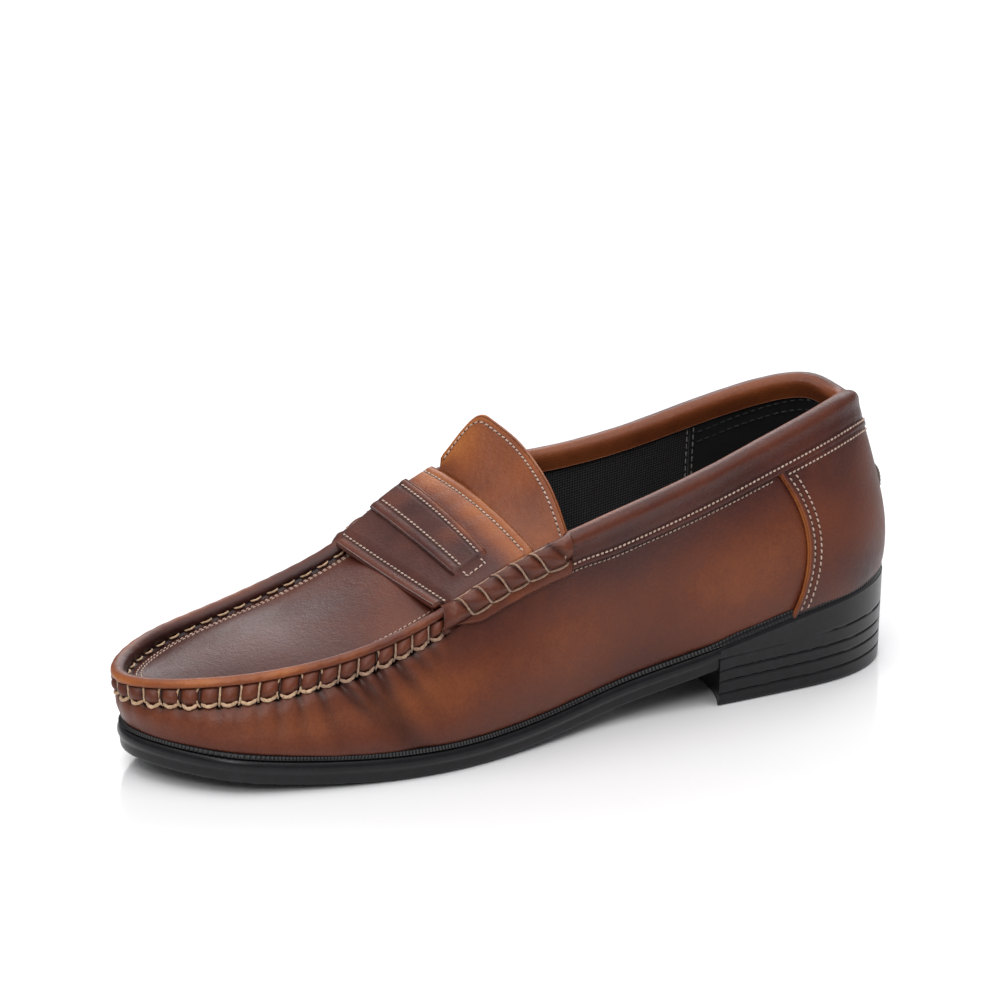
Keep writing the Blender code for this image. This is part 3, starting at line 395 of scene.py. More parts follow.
def mesh_object(name, points, faces, material, values=None, merge=0.0):
    """Object from arrays of points and faces; values are named numbers on its points."""
    mesh = bpy.data.meshes.new(name)
    points = np.asarray(points, float)
    mesh.from_pydata(points.tolist(), [], [list(face) for face in faces])
    for key, numbers in (values or {}).items():
        attribute = mesh.attributes.new(key, "FLOAT", "POINT")
        attribute.data.foreach_set("value", np.asarray(numbers, np.float32).ravel())
    if merge:
        work = bmesh.new()
        work.from_mesh(mesh)
        bmesh.ops.remove_doubles(work, verts=work.verts, dist=merge)
        if all(edge.is_manifold for edge in work.edges):
            bmesh.ops.recalc_face_normals(work, faces=work.faces)
        work.to_mesh(mesh)
        work.free()
    mesh.validate()
    mesh.shade_smooth()
    mesh.materials.append(material)
    return linked(name, mesh)


def thicken(obj, thickness):
    """Give an open surface its thickness, laid behind it."""
    modifier = obj.modifiers.new("thickness", "SOLIDIFY")
    modifier.thickness = thickness
    modifier.offset = -1
    depsgraph = bpy.context.evaluated_depsgraph_get()
    solid = bpy.data.meshes.new_from_object(obj.evaluated_get(depsgraph))
    obj.modifiers.clear()
    obj.data = solid


def boundary(rows, columns):
    """Indices round the edge of a grid, and of the neighbour just inside each."""
    index = np.arange(rows * columns).reshape(rows, columns)
    edge = np.concatenate([index[0, :-1], index[:-1, -1], index[-1, :0:-1], index[:0:-1, 0]])
    inner = index[1:-1, 1:-1]
    inner = np.pad(inner, 1, mode="edge")
    inside = np.concatenate([inner[0, :-1], inner[:-1, -1], inner[-1, :0:-1], inner[:0:-1, 0]])
    return edge, inside


def leather_sheet(name, grid, hint, thickness, material, values=None, rim=4, merge=0.0):
    """Sheet with a rounded rim; the grid is its visible face."""
    grid = np.asarray(grid, float)
    values = dict(values or {})
    if not facing(grid, hint):
        grid = grid[:, ::-1]
        values = {key: np.asarray(v)[:, ::-1] for key, v in values.items()}
    rows, columns = grid.shape[:2]
    normals = grid_normals(grid)
    front = grid.reshape(-1, 3)
    normal = normals.reshape(-1, 3)
    half = np.broadcast_to(np.asarray(thickness, float) / 2, (rows, columns)).reshape(-1)
    count = len(front)
    back = front - normal * (2 * half)[:, None]
    edge, inside = boundary(rows, columns)
    outward = front[edge] - front[inside]
    outward -= normal[edge] * np.sum(outward * normal[edge], axis=1, keepdims=True)
    outward /= np.maximum(np.linalg.norm(outward, axis=1, keepdims=True), 1e-9)
    points = [front, back]
    loops = [edge]
    for step in range(1, rim):
        angle = math.pi * step / rim
        lift = (half[edge] * (math.cos(angle) - 1))[:, None]
        push = (half[edge] * math.sin(angle))[:, None]
        loops.append(2 * count + (step - 1) * len(edge) + np.arange(len(edge)))
        points.append(front[edge] + normal[edge] * lift + outward * push)
    loops.append(edge + count)
    quads = grid_quads(rows, columns)
    faces = [quads[:, ::-1], quads + count]
    for upper, lower in zip(loops[:-1], loops[1:]):
        ring = (upper, np.roll(upper, -1), np.roll(lower, -1), lower)
        faces.append(np.stack(ring, -1)[:, ::-1])
    spread = {}
    for key, numbers in values.items():
        numbers = np.broadcast_to(np.asarray(numbers, float), (rows, columns)).reshape(-1)
        spread[key] = np.concatenate([numbers, numbers, *[numbers[edge]] * (rim - 1)])
    return mesh_object(name, np.vstack(points), np.vstack(faces), material, spread, merge)


def tube_parts(path, radius, sides=10, twist=1500, taper=0.0):
    """Points and faces of one thread along a path, its two plies twisted round each other."""
    path = np.asarray(path, float)
    along = np.gradient(path, axis=0)
    along /= np.maximum(np.linalg.norm(along, axis=1, keepdims=True), 1e-12)
    length = run_length(path)
    side = np.cross(along[0], (0.31, 0.52, 0.79))
    angles = np.arange(sides) * 2 * math.pi / sides
    sections = []
    for place, point, direction in zip(length, path, along):
        side = side - direction * np.dot(side, direction)
        side /= np.linalg.norm(side)
        other = np.cross(direction, side)
        plies = np.abs(np.cos(angles - twist * place))
        bulge = radius * (1 - PLY_BULGE + 2 * PLY_BULGE * plies)
        if taper:
            from_end = min(place, length[-1] - place)
            bulge = bulge * (0.35 + 0.65 * float(ease(from_end / taper)))
        ring = (np.cos(angles) * bulge)[:, None] * side + (np.sin(angles) * bulge)[:, None] * other
        sections.append(point + ring)
    rings = len(sections)
    caps = (range(sides)[::-1], range((rings - 1) * sides, rings * sides))
    return np.vstack(sections), ring_quads(rings, sides), caps


def join_parts(parts):
    """One set of points and faces from several."""
    points, faces, start = [], [], 0
    for piece_points, *piece_faces in parts:
        points.append(piece_points)
        for group in piece_faces:
            faces += [tuple(i + start for i in face) for face in group]
        start += len(piece_points)
    return np.vstack(points), faces


def threads(name, paths, radius, material, node=None, **shape):
    """One object holding a thread along each path."""
    points, faces = join_parts([tube_parts(path, radius, **shape) for path in paths])
    return placed(mesh_object(name, points, faces, material), "thread", node)


def placed(obj, slot, *nodes, body="shoe"):
    """Put a piece on its body and hide the CAD nodes it stands for; the slot is not used."""
    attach(obj, body)
    nodes = [node for node in nodes if node]
    if nodes:
        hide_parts(*nodes)
    return obj


# ---- machine stitches ---------------------------------------------------
def surface_tree(obj):
    mesh = obj.data
    return BVHTree.FromPolygons([v.co.copy() for v in mesh.vertices],
                                [tuple(p.vertices) for p in mesh.polygons])


def even_points(path, pitch):
    """Points an even distance apart along a path, with the path's direction there."""
    path = np.asarray(path, float)
    length = run_length(path)
    count = max(1, round(length[-1] / pitch))
    places = (np.arange(count) + 0.5) * length[-1] / count
    step = 0.3 * length[-1] / count

    def points_at(distances):
        return np.stack([np.interp(distances, length, column) for column in path.T], -1)

    return points_at(places), points_at(places + step) - points_at(places - step)


def stitch_template(sections=7, sides=6):
    """One stitch of unit length and radius lying along x, its ends sunk."""
    share = np.linspace(0, 1, sections)
    angles = np.arange(sides) * 2 * math.pi / sides
    x = np.repeat(share - 0.5, sides)
    rise = np.repeat(np.sin(math.pi * share) ** 0.6, sides)
    size = np.repeat(0.45 + 0.55 * np.sin(math.pi * share) ** 0.5, sides)
    y = np.tile(np.cos(angles), sections) * size
    z = np.tile(np.sin(angles), sections) * size
    return x, y, z, rise, ring_quads(sections, sides)


def stitch_row(name, path, tree, materials, pitch=FINE_PITCH, radius=FINE_THREAD, body="shoe"):
    """Row of stitches laid on the surface under a path, with a needle hole between each two."""
    at, along = even_points(path, pitch)
    x, y, z, lift, quads = stitch_template()
    spread, faces, holes = [], [], []
    for spot, direction in zip(at, along):
        place, normal = (np.array(found) for found in tree.find_nearest(Vector(spot))[:2])
        direction = direction - normal * np.dot(direction, normal)
        direction /= max(np.linalg.norm(direction), 1e-9)
        sideways = np.cross(normal, direction)
        holes.append((place + direction * pitch / 2, normal, direction))
        direction = direction * math.cos(STITCH_SLANT) + sideways * math.sin(STITCH_SLANT)
        sideways = np.cross(normal, direction)
        up = (z + lift * 2 * STITCH_RISE - STITCH_RISE * 0.9) * radius
        points = (place + np.outer(x * pitch * STITCH_SHARE, direction)
                  + np.outer(y * radius, sideways) + np.outer(up, normal))
        faces.append(quads + len(spread) * len(x))
        spread.append(points)
    thread = mesh_object(name, np.vstack(spread), np.vstack(faces), materials["fine"])
    placed(thread, "thread", body=body)
    make_needle_holes(name + "_holes", holes, radius, materials["hole"], body)


def make_needle_holes(name, holes, radius, material, body, sides=7):
    """Small dimples where the needle went through, coloured dark as painted shade in the holes."""
    angles = np.arange(sides) * 2 * math.pi / sides
    points, faces = [], []
    for place, normal, direction in holes:
        sideways = np.cross(normal, direction)
        start = len(points) * (sides + 1)
        ring = (place + np.outer(np.cos(angles) * radius * 1.25, direction)
                + np.outer(np.sin(angles) * radius * 0.85, sideways) + normal * 0.02 * MM)
        points.append(np.vstack([ring, place + normal * 0.07 * MM]))
        faces += [(start + i, start + (i + 1) % sides, start + sides) for i in range(sides)]
    dimples = mesh_object(name, np.vstack(points), faces, material)
    return placed(dimples, "side_leather", body=body)


# ---- materials ----------------------------------------------------------
def node_material(name, roughness, metallic=0.0):
    material = bpy.data.materials.new(name)
    material.use_nodes = True
    shader = material.node_tree.nodes["Principled BSDF"]
    shader.inputs["Roughness"].default_value = roughness
    shader.inputs["Metallic"].default_value = metallic
    return material, material.node_tree, shader


def add(tree, kind, **settings):
    """New node; settings name its properties, or its inputs when they start with "in_"."""
    node = tree.nodes.new(kind)
    for key, value in settings.items():
        if key.startswith("in_"):
            node.inputs[key[3:].replace("_", " ")].default_value = value
        else:
            setattr(node, key, value)
    return node


def noise(tree, scale, detail=4.0, roughness=0.55, distortion=0.0):
    place = add(tree, "ShaderNodeTexCoord")
    node = add(tree, "ShaderNodeTexNoise", in_Scale=scale, in_Detail=detail,
               in_Roughness=roughness, in_Distortion=distortion)
    tree.links.new(place.outputs["Object"], node.inputs["Vector"])
    return node.outputs["Fac"]


def math_node(tree, operation, first, second, clamp=False):
    node = add(tree, "ShaderNodeMath", operation=operation, use_clamp=clamp)
    for socket, value in zip(node.inputs, (first, second)):
        if isinstance(value, (int, float)):
            socket.default_value = value
        else:
            tree.links.new(value, socket)
    return node.outputs[0]


def ramp(tree, factor, stops):
    node = add(tree, "ShaderNodeValToRGB")
    elements = node.color_ramp.elements
    while len(elements) < len(stops):
        elements.new(0.5)
    for element, (position, colour) in zip(elements, stops):
        element.position = position
        element.color = (*colour, 1)
    tree.links.new(factor, node.inputs["Fac"])
    return node.outputs["Color"]


def colour_by(tree, shader, factor, *stops):
    """Base colour from a ramp over a factor."""
    tree.links.new(ramp(tree, factor, stops), shader.inputs["Base Color"])


def bump(tree, shader, height, strength, distance):
    node = add(tree, "ShaderNodeBump", in_Strength=strength, in_Distance=distance)
    tree.links.new(height, node.inputs["Height"])
    tree.links.new(node.outputs["Normal"], shader.inputs["Normal"])


def attribute(tree, name):
    return add(tree, "ShaderNodeAttribute", attribute_name=name).outputs["Fac"]


DARK_BROWN = (0.024, 0.0062, 0.0048)
PURPLE_BROWN = (0.070, 0.0175, 0.0120)
MID_BROWN = (0.140, 0.0340, 0.0135)
ORANGE_BROWN = (0.260, 0.0700, 0.0190)
TAN_ORANGE = (0.44, 0.145, 0.037)


def leather(name, roughness, grain=0.5):
    """Burnished leather: "tone" on the mesh runs from dark to tan; "pit" is painted shade that darkens
    the hollows.
    """
    material, tree, shader = node_material(name, roughness)
    broad = noise(tree, 38, 3, 0.5, 0.4)
    patches = noise(tree, 130, 5, 0.6, 0.8)
    speckle = noise(tree, 900, 3, 0.6)
    tone = attribute(tree, "tone")
    for source, amount in ((broad, 0.17), (patches, 0.15), (speckle, 0.20)):
        centred = math_node(tree, "SUBTRACT", source, 0.5)
        tone = math_node(tree, "ADD", tone, math_node(tree, "MULTIPLY", centred, amount))
    colour = ramp(tree, tone, ((0.0, DARK_BROWN), (0.25, PURPLE_BROWN), (0.5, MID_BROWN),
                               (0.75, ORANGE_BROWN), (1.0, TAN_ORANGE)))
    # Painted shade: the colour is darkened towards a near-black brown in hollows, creases and holes.
    shade = add(tree, "ShaderNodeMix", data_type="RGBA", blend_type="MIX")
    shade.inputs["B"].default_value = (*[0.22 * c for c in DARK_BROWN], 1)
    tree.links.new(attribute(tree, "painted_shade"), shade.inputs["Factor"])
    tree.links.new(colour, shade.inputs["A"])
    tree.links.new(shade.outputs["Result"], shader.inputs["Base Color"])
    cells = add(tree, "ShaderNodeTexVoronoi", in_Scale=1150)
    place = add(tree, "ShaderNodeTexCoord")
    tree.links.new(place.outputs["Object"], cells.inputs["Vector"])
    creases = math_node(tree, "MULTIPLY", cells.outputs["Distance"], grain)
    fine = math_node(tree, "MULTIPLY", noise(tree, 2600, 2, 0.5), 0.35)
    wrinkles = math_node(tree, "MULTIPLY", noise(tree, 420, 4, 0.6, 0.6), 1.1)
    height = math_node(tree, "ADD", creases, math_node(tree, "ADD", fine, wrinkles))
    bump(tree, shader, height, 0.55, 0.2 * MM)
    gloss = math_node(tree, "MULTIPLY", math_node(tree, "SUBTRACT", patches, 0.5), 0.25)
    tree.links.new(math_node(tree, "ADD", gloss, roughness, True), shader.inputs["Roughness"])
    shader.inputs["Specular IOR Level"].default_value = 0.3
    shader.inputs["Coat Weight"].default_value = 0.05
    shader.inputs["Coat Roughness"].default_value = 0.3
    return material


def rubber(name):
    """Black rubber, a little duller in patches."""
    material, tree, shader = node_material(name, 0.30)
    colour_by(tree, shader, noise(tree, 240, 5, 0.6),
              (0.3, (0.0045, 0.0040, 0.0048)), (0.75, (0.010, 0.009, 0.011)))
    dust = math_node(tree, "MULTIPLY", noise(tree, 1400, 3, 0.6), 0.18)
    tree.links.new(math_node(tree, "ADD", dust, 0.22), shader.inputs["Roughness"])
    bump(tree, shader, noise(tree, 2100, 3, 0.6), 0.12, 0.08 * MM)
    shader.inputs["Specular IOR Level"].default_value = 0.3
    return material


def cotton(name, light, dark):
    """Waxed thread, a little darker in patches."""
    material, tree, shader = node_material(name, 0.7)
    colour_by(tree, shader, noise(tree, 520, 4, 0.65), (0.3, dark), (0.62, light))
    bump(tree, shader, noise(tree, 5200, 2, 0.5), 0.4, 0.05 * MM)
    shader.inputs["Sheen Weight"].default_value = 0.3
    return material


def mesh_cloth(name):
    """Black knitted mesh: small raised cells on the slant, painted lighter grey as glints."""
    material, tree, shader = node_material(name, 0.82)
    pitch = 2 * math.pi / (2.0 * MM)
    u, v = attribute(tree, "cloth_u"), attribute(tree, "cloth_v")
    slant_up = math_node(tree, "MULTIPLY", math_node(tree, "ADD", u, v), pitch)
    slant_down = math_node(tree, "MULTIPLY", math_node(tree, "SUBTRACT", u, v), pitch)
    waves = math_node(tree, "MULTIPLY", math_node(tree, "SINE", slant_up, 0.0),
                      math_node(tree, "SINE", slant_down, 0.0))
    cells = math_node(tree, "MULTIPLY", math_node(tree, "ADD", waves, 1.0), 0.5)
    # Painted highlight: the raised cells are coloured lighter as small glints.
    colour_by(tree, shader, cells,
              (0.35, (0.0008, 0.0008, 0.0010)), (0.9, (0.060, 0.055, 0.060)))
    bump(tree, shader, math_node(tree, "ADD", cells, noise(tree, 5000, 2)), 0.8, 0.3 * MM)
    return material


def smooth_lining(name):
    """Black grip lining with a faint nap."""
    material, tree, shader = node_material(name, 0.6)
    colour_by(tree, shader, noise(tree, 300, 4),
              (0.3, (0.003, 0.003, 0.0035)), (0.8, (0.009, 0.0085, 0.010)))
    bump(tree, shader, noise(tree, 3000, 2), 0.3, 0.06 * MM)
    shader.inputs["Sheen Weight"].default_value = 0.12
    return material


def grainy(name, dark, light, scale, roughness, metallic=0.0, height=0.1 * MM):
    """Plain mottled finish of the hidden pieces: board, cork, foam and steel."""
    material, tree, shader = node_material(name, roughness, metallic)
    colour_by(tree, shader, noise(tree, scale, 6, 0.7), (0.35, dark), (0.7, light))
    bump(tree, shader, noise(tree, scale * 2, 3), 0.5, height)
    return material


def floor_finish():
    material, tree, shader = node_material("pale_floor", 0.12)
    shader.inputs["Base Color"].default_value = (0.95, 0.95, 0.955, 1)
    shader.inputs["Specular IOR Level"].default_value = 0.25
    return material


def make_materials():
    return {
        "side": leather("side_leather_finish", 0.43),
        "apron": leather("apron_leather_finish", 0.36, grain=0.35),
        "strap": leather("strap_leather_finish", 0.42),
        "tongue": leather("tongue_leather_finish", 0.46, grain=0.9),
        "collar": leather("collar_leather_finish", 0.38, grain=0.6),
        "rubber": rubber("black_rubber_finish"),
        "thread": cotton("cream_thread_finish", (0.62, 0.41, 0.25), (0.32, 0.19, 0.10)),
        "dull": cotton("dull_thread_finish", (0.40, 0.245, 0.155), (0.21, 0.115, 0.07)),
        "fine": cotton("fine_thread_finish", (0.62, 0.46, 0.37), (0.33, 0.21, 0.15)),
        "pale": cotton("pale_thread_finish", (0.34, 0.33, 0.31), (0.14, 0.13, 0.12)),
        "black": cotton("black_thread_finish", (0.018, 0.018, 0.02), (0.007, 0.007, 0.008)),
        "olive": cotton("olive_thread_finish", (0.10, 0.060, 0.028), (0.035, 0.021, 0.011)),
        # Painted shade: the needle holes are coloured near black.
        "hole": grainy("needle_hole_painted_shade", (0.006, 0.002, 0.0015), (0.016, 0.006, 0.004), 900, 0.8),
        "mesh": mesh_cloth("mesh_lining_finish"),
        "grip": smooth_lining("grip_lining_finish"),
        "board": grainy("fibre_board_finish", (0.2, 0.13, 0.07), (0.36, 0.25, 0.15), 600, 0.9),
        "cork": grainy("cork_finish", (0.2, 0.1, 0.045), (0.4, 0.24, 0.12), 500, 0.9),
        "foam": grainy("foam_finish", (0.5, 0.45, 0.32), (0.66, 0.61, 0.46), 900, 0.95),
        "steel": grainy("steel_finish", (0.42, 0.42, 0.44), (0.6, 0.6, 0.62), 400, 0.33, 1.0, 0.02 * MM),
    }


# ---- side leather with its gathered top edge ----------------------------
def pucker_relief(lap, drop):
    """Folds that run down the side from the seam's holes, as a depth."""
    random = np.random.default_rng(11)
    total = np.zeros(np.broadcast(lap, drop).shape)
    below = drop - SEAM_HOLE_DROP
    for hole in SEAM_HOLES:
        from_saddle = min(abs(hole - SADDLE_FRONT_LAP), abs(LAP - SADDLE_FRONT_LAP - hole))
        strong = math.exp(-((from_saddle - 0.9) / 0.95) ** 2)
        depth = (0.40 + 1.9 * strong * random.uniform(0.5, 1.0)) * MM
        reach = (6.0 + 14 * strong * random.uniform(0.3, 1.0)) * MM
        lean = (0.004 + 0.024 * strong) * random.uniform(0.6, 1.3)
        lean *= -1 if hole < TOE_LAP else 1
        middle = hole + lean * np.maximum(below, 0) / MM
        width = 0.055 + 0.0028 * np.maximum(below, 0) / MM
        fade = np.exp(-np.maximum(below, 0) / reach) * ease((below / MM + 2.2) / 2.2)
        total += depth * fade * hump(lap, middle, width)
    return total


def side_relief(lap, drop):
    """How far the gathered edge, its puckers and slow waves stand off the plain wall."""
    share = seam_share(lap)
    across = np.clip((drop - PILLOW_TOP) / (SEAM_HOLE_DROP - PILLOW_TOP), 0, 1)
    plump = np.sin(math.pi * across) ** 0.6
    pillow = PILLOW_HEIGHT * plump * np.abs(np.sin(math.pi * seam_phase(lap))) ** 0.7
    pinch = hump(to_seam_hole(lap), 0, 1.0 * MM)
    groove = hump(drop, SEAM_HOLE_DROP, 0.85 * MM) * (0.45 + 1.5 * pinch) * MM
    puff = 1.0 * MM * hump(drop, 12.5 * MM, 4.0 * MM)
    relief = share * (pillow - groove + puff) - share * pucker_relief(lap, drop)
    points = wall_drop(lap, drop, 0)
    low = ease(drop / SEAM_BAND)
    waves = 0.42 * smooth_noise(points, 46 * MM, 3) + 0.10 * smooth_noise(points, 15 * MM, 5)
    return relief + waves * MM * low


def side_tone(lap, drop, points):
    """Orange-brown across the middle of the side, dark towards seams and edges."""
    rise = 1 - drop / wall_height(lap)
    tone = 0.33 + 0.20 * hump(rise, 0.38, 0.30)
    tone += 0.14 * hump(lap, 8.4, 1.0) * hump(rise, 0.5, 0.28)
    tone += 0.10 * seam_share(lap) * hump(drop, 5.5 * MM, 2.6 * MM) * ease((11.8 - lap) / 0.6)
    tone += 0.07 * smooth_noise(points, 60 * MM, 21)
    tone -= 0.10 * hump(drop, COLLAR_BAND + 4 * MM, 9 * MM) * (1 - seam_share(lap))
    return tone


def side_painted_shade(lap, drop):
    """Painted shade: dark in the holes, between the gathers, under the lip and in the folds."""
    share = seam_share(lap)
    to_hole = to_seam_hole(lap)
    hole = hump(to_hole, 0, 1.5 * MM) * hump(drop, SEAM_HOLE_DROP, 1.5 * MM)
    valley = 0.85 * hump(to_hole, 0, 0.95 * MM) * ease((SEAM_HOLE_DROP - drop) / (1.5 * MM))
    line = 0.5 * hump(drop, SEAM_HOLE_DROP, 0.6 * MM)
    under_lip = 0.75 * ease((4.1 * MM - drop) / (0.9 * MM))
    folds = np.clip(pucker_relief(lap, drop) / (1.6 * MM), 0, 0.55)
    painted_shade = share * np.clip(np.maximum.reduce([hole, valley, line, under_lip]), 0, 1)
    return np.clip(painted_shade + share * folds, 0, 1)


def make_side_panel(materials):
    lap = even_laps(QUARTER_END_LAP, LAP - QUARTER_END_LAP, 12 * MM, 0, 0.34 * MM)
    height = wall_height(lap)
    lower_top = (1 - seam_share(lap, 0.5)) * 3.4 * MM
    columns = []
    for drop in np.linspace(SEAM_TOP, SEAM_BAND, 48):
        columns.append(drop + lower_top * (SEAM_BAND - drop) / (SEAM_BAND - SEAM_TOP))
    for share in np.linspace(0, 1, 62)[1:]:
        columns.append(SEAM_BAND + (height - SEAM_BAND + 0.4 * MM) * share)
    drop = np.stack(columns, 1)
    laps = np.broadcast_to(lap[:, None], drop.shape)
    grid = wall_drop(laps, drop, side_relief(laps, drop))
    tuck = ease(1 - (height[:, None] - drop) / (2.2 * MM))
    grid = grid - (edge_normal(laps) * (tuck * 0.7 * MM)[..., None]) @ np.eye(2, 3)
    values = {"tone": side_tone(laps, drop, grid), "painted_shade": side_painted_shade(laps, drop)}
    obj = leather_sheet("side_panel_leather", grid, (0, -1, 0), SIDE_LEATHER,
                        materials["side"], values)
    return placed(obj, "side_leather", "side_panel")


# ---- hand-sewn seam thread ----------------------------------------------
def seam_crossing_paths(random):
    """Cross stitches pulled in between the gathers, from a hole up under the lip."""
    share = np.linspace(0, 1, 26)
    knots = np.linspace(0, 1, 8)
    drop = np.interp(share, knots, np.array([8.7, 8.1, 7.2, 6.0, 4.9, 3.9, 3.1, 2.6]) * MM)
    out = np.interp(share, knots, np.array([-1.1, -0.1, 0.45, 0.65, 0.7, 0.7, 0.6, 0.2]) * MM)
    paths = []
    for hole in SEAM_HOLES:
        sway = random.uniform(-0.035, 0.035)
        paths.append(wall_drop(hole + sway * np.sin(math.pi * share), drop, out))
    return paths


def seam_running_paths(random):
    """Running stitches from hole to hole, sagging a little below them."""
    share = np.linspace(0, 1, 26)
    arch = np.sin(math.pi * share) ** 0.6
    paths = []
    for number in range(len(SEAM_HOLES) - 1):
        lap = lap_at_phase(number + 0.12 + 0.76 * share)
        drop = SEAM_HOLE_DROP + (-1.0 + random.uniform(1.4, 1.9) * arch) * MM
        paths.append(wall_drop(lap, drop, (-1.0 + 2.1 * arch) * MM))
    return paths


def seam_inside_paths():
    """Short dashes on the inner face of the ridge."""
    share = np.linspace(0, 1, 14)
    arch = np.sin(math.pi * share) ** 0.5
    paths = []
    for number in range(len(SEAM_HOLES) - 1):
        lap = lap_at_phase(number + 0.16 + 0.64 * share)
        drop = field_depth(lap) - (0.6 + 0.1 * arch) * MM
        paths.append(wall_drop(lap, drop, -RIDGE_INSIDE - 0.8 * arch * MM))
    return paths


def make_seam_thread(materials):
    """The thread is bright round the toe and duller along both sides."""
    random = np.random.default_rng(5)
    crossing = seam_crossing_paths(random)
    running = seam_running_paths(random)
    left, right = np.searchsorted(SEAM_HOLES, (TOE_LAP - BRIGHT_LAPS, TOE_LAP + BRIGHT_LAPS))
    groups = (("toe", "thread", "seam_thread", slice(left, right)),
              ("left", "dull", None, slice(0, left)),
              ("right", "dull", None, slice(right, None)))
    for word, key, node, part in groups:
        threads(f"seam_thread_crossing_{word}", crossing[part], SEAM_CROSS_THREAD, materials[key])
        threads(f"seam_thread_whipped_{word}", running[part], SEAM_THREAD, materials[key], node)
    threads("seam_thread_inside", seam_inside_paths(), SEAM_CROSS_THREAD, materials["thread"],
            sides=8, taper=0.8 * MM)


# ---- apron --------------------------------------------------------------
# Drop and out of the lip and ridge, in millimetres, from under the lip down to the field.
RIDGE_PROFILE = ((3.25, 1.05), (3.3, 1.55), (3.0, 2.05), (2.3, 2.35), (1.5, 2.3), (0.7, 1.9),
                 (0.15, 1.1), (-0.05, 0.1), (0.05, -1.0), (0.5, -2.0), (1.3, -2.75),
                 (2.3, -3.05), (3.3, -3.15), (4.1, -3.4), (4.55, -4.0), (4.65, -5.0))
RIDGE_POINTS = 44


def field_depth(lap):
    """Ridge top down to the field: full at the toe, shallower along the sides."""
    from_toe = np.abs(np.asarray(lap, float) - TOE_LAP)
    return RIDGE_DEPTH * (1 - 0.5 * ease((from_toe - 0.7) / 1.6))


def saddle_lift(half_lap):
    """The field rises to meet the saddle."""
    return 1.1 * MM * ease((9.6 - half_lap) / 1.4)


def field_points(half_lap, side, share):
    """Apron field from the ridge base (share 0) to the middle line (share 1)."""
    depth = field_depth(half_lap) + 0.05 * MM
    left = wall_drop(half_lap, depth, FIELD_OUT)
    right = wall_drop(LAP - half_lap, depth, FIELD_OUT)
    across = 0.5 * share if side == "left" else 1 - 0.5 * share
    toe_share = (half_lap - SADDLE_REAR_LAP) / (TOE_LAP - SADDLE_REAR_LAP)
    crown = (APRON_CROWN + saddle_lift(half_lap)) * (1 - toe_share ** 5)
    point = left * (1 - across)[..., None] + right * across[..., None]
    point[..., 2] += crown * 4 * across * (1 - across)
    return point


def ridge_relief(lap, profile_share):
    """Dents that the thread pulls into the lip and the inner face of the ridge."""
    pinch = hump(to_seam_hole(lap), 0, 1.3 * MM) * seam_share(lap)
    lip = hump(profile_share, 0.1, 0.12)
    inner = hump(profile_share, 0.8, 0.1)
    wavy = np.sin(2 * math.pi * seam_phase(lap) + 1.0) * hump(profile_share, 0.45, 0.2)
    return -pinch * (0.38 * lip + 0.3 * inner) * MM + 0.10 * MM * wavy


def make_apron(materials):
    """Toe top: one grid that runs round the toe, from the lip in to the middle line."""
    start = SADDLE_REAR_LAP + 0.12
    half_way = even_laps(start, TOE_LAP, 2 * MM, 0, 0.5 * MM)
    lap = np.concatenate([half_way, LAP - half_way[-2::-1]])
    share = np.linspace(0, 1, RIDGE_POINTS)
    profile = profile_points(RIDGE_PROFILE, RIDGE_POINTS)
    laps, drops = np.meshgrid(lap, profile[:, 0], indexing="ij")
    inner_side = ease((-0.6 * MM - profile[None, :, 1]) / (1.4 * MM))
    drops = drops * (1 + (field_depth(laps) / RIDGE_DEPTH - 1) * inner_side)
    relief = ridge_relief(laps, share[None, :])
    ridge = wall_drop(laps, drops, profile[None, :, 1] + relief)
    inward = np.linspace(0, 1, 61)[1:] ** 0.9
    half = np.minimum(lap, LAP - lap)
    side_left = (lap <= TOE_LAP)[:, None, None]
    field_share = np.broadcast_to(inward, (len(lap), len(inward)))
    halves = np.broadcast_to(half[:, None], field_share.shape)
    field = np.where(side_left, field_points(halves, "left", field_share),
                     field_points(halves, "right", field_share))
    field[..., 2] += smooth_noise(field, 30 * MM, 8) * 0.18 * MM * ease(field_share / 0.2)
    grid = np.concatenate([ridge, field], axis=1)
    tone = apron_tone(lap, share, field_share, grid)
    painted_shade = np.zeros_like(tone)
    # Painted shade under the lip and where the ridge's inner face meets the field.
    painted_shade[:, :RIDGE_POINTS] = 0.75 * hump(share, 0.87, 0.07) + 0.8 * hump(share, 0.0, 0.05)
    quads = grid_quads(*grid.shape[:2])
    if facing(grid, (0, 0, 1)):
        quads = quads[:, ::-1]
    obj = mesh_object("apron_leather_top", grid.reshape(-1, 3), quads, materials["apron"],
                      {"tone": tone, "painted_shade": painted_shade}, merge=0.02 * MM)
    thicken(obj, APRON_LEATHER)
    return placed(obj, "apron_leather", "apron")


def apron_tone(lap, share, field_share, grid):
    """Orange on the near lip at the toe, partly the lip's orange-brown leather and partly a painted
    highlight; painted shade inside the ridge; warm near the saddle.
    """
    half = np.minimum(lap, LAP - lap)[:, None]
    lip = hump(share, 0.25, 0.2)[None, :]
    inner = ease((share - 0.45) / 0.25)[None, :]
    # Painted highlight on the lip, growing towards the toe, over its orange-brown leather; painted shade
    # on the ridge's inner face.
    ridge = 0.30 + 0.42 * lip * ease((half - 8.5) / 1.6) + 0.1 * lip - 0.24 * inner
    ridge = ridge + 0.08 * np.sin(7 * lap)[:, None] * lip
    field = np.broadcast_to(0.20 + 0.16 * ease((10.4 - half) / 2.2), field_share.shape)
    tone = np.concatenate([ridge, field], axis=1)
    return tone + 0.07 * smooth_noise(grid, 35 * MM, 31)


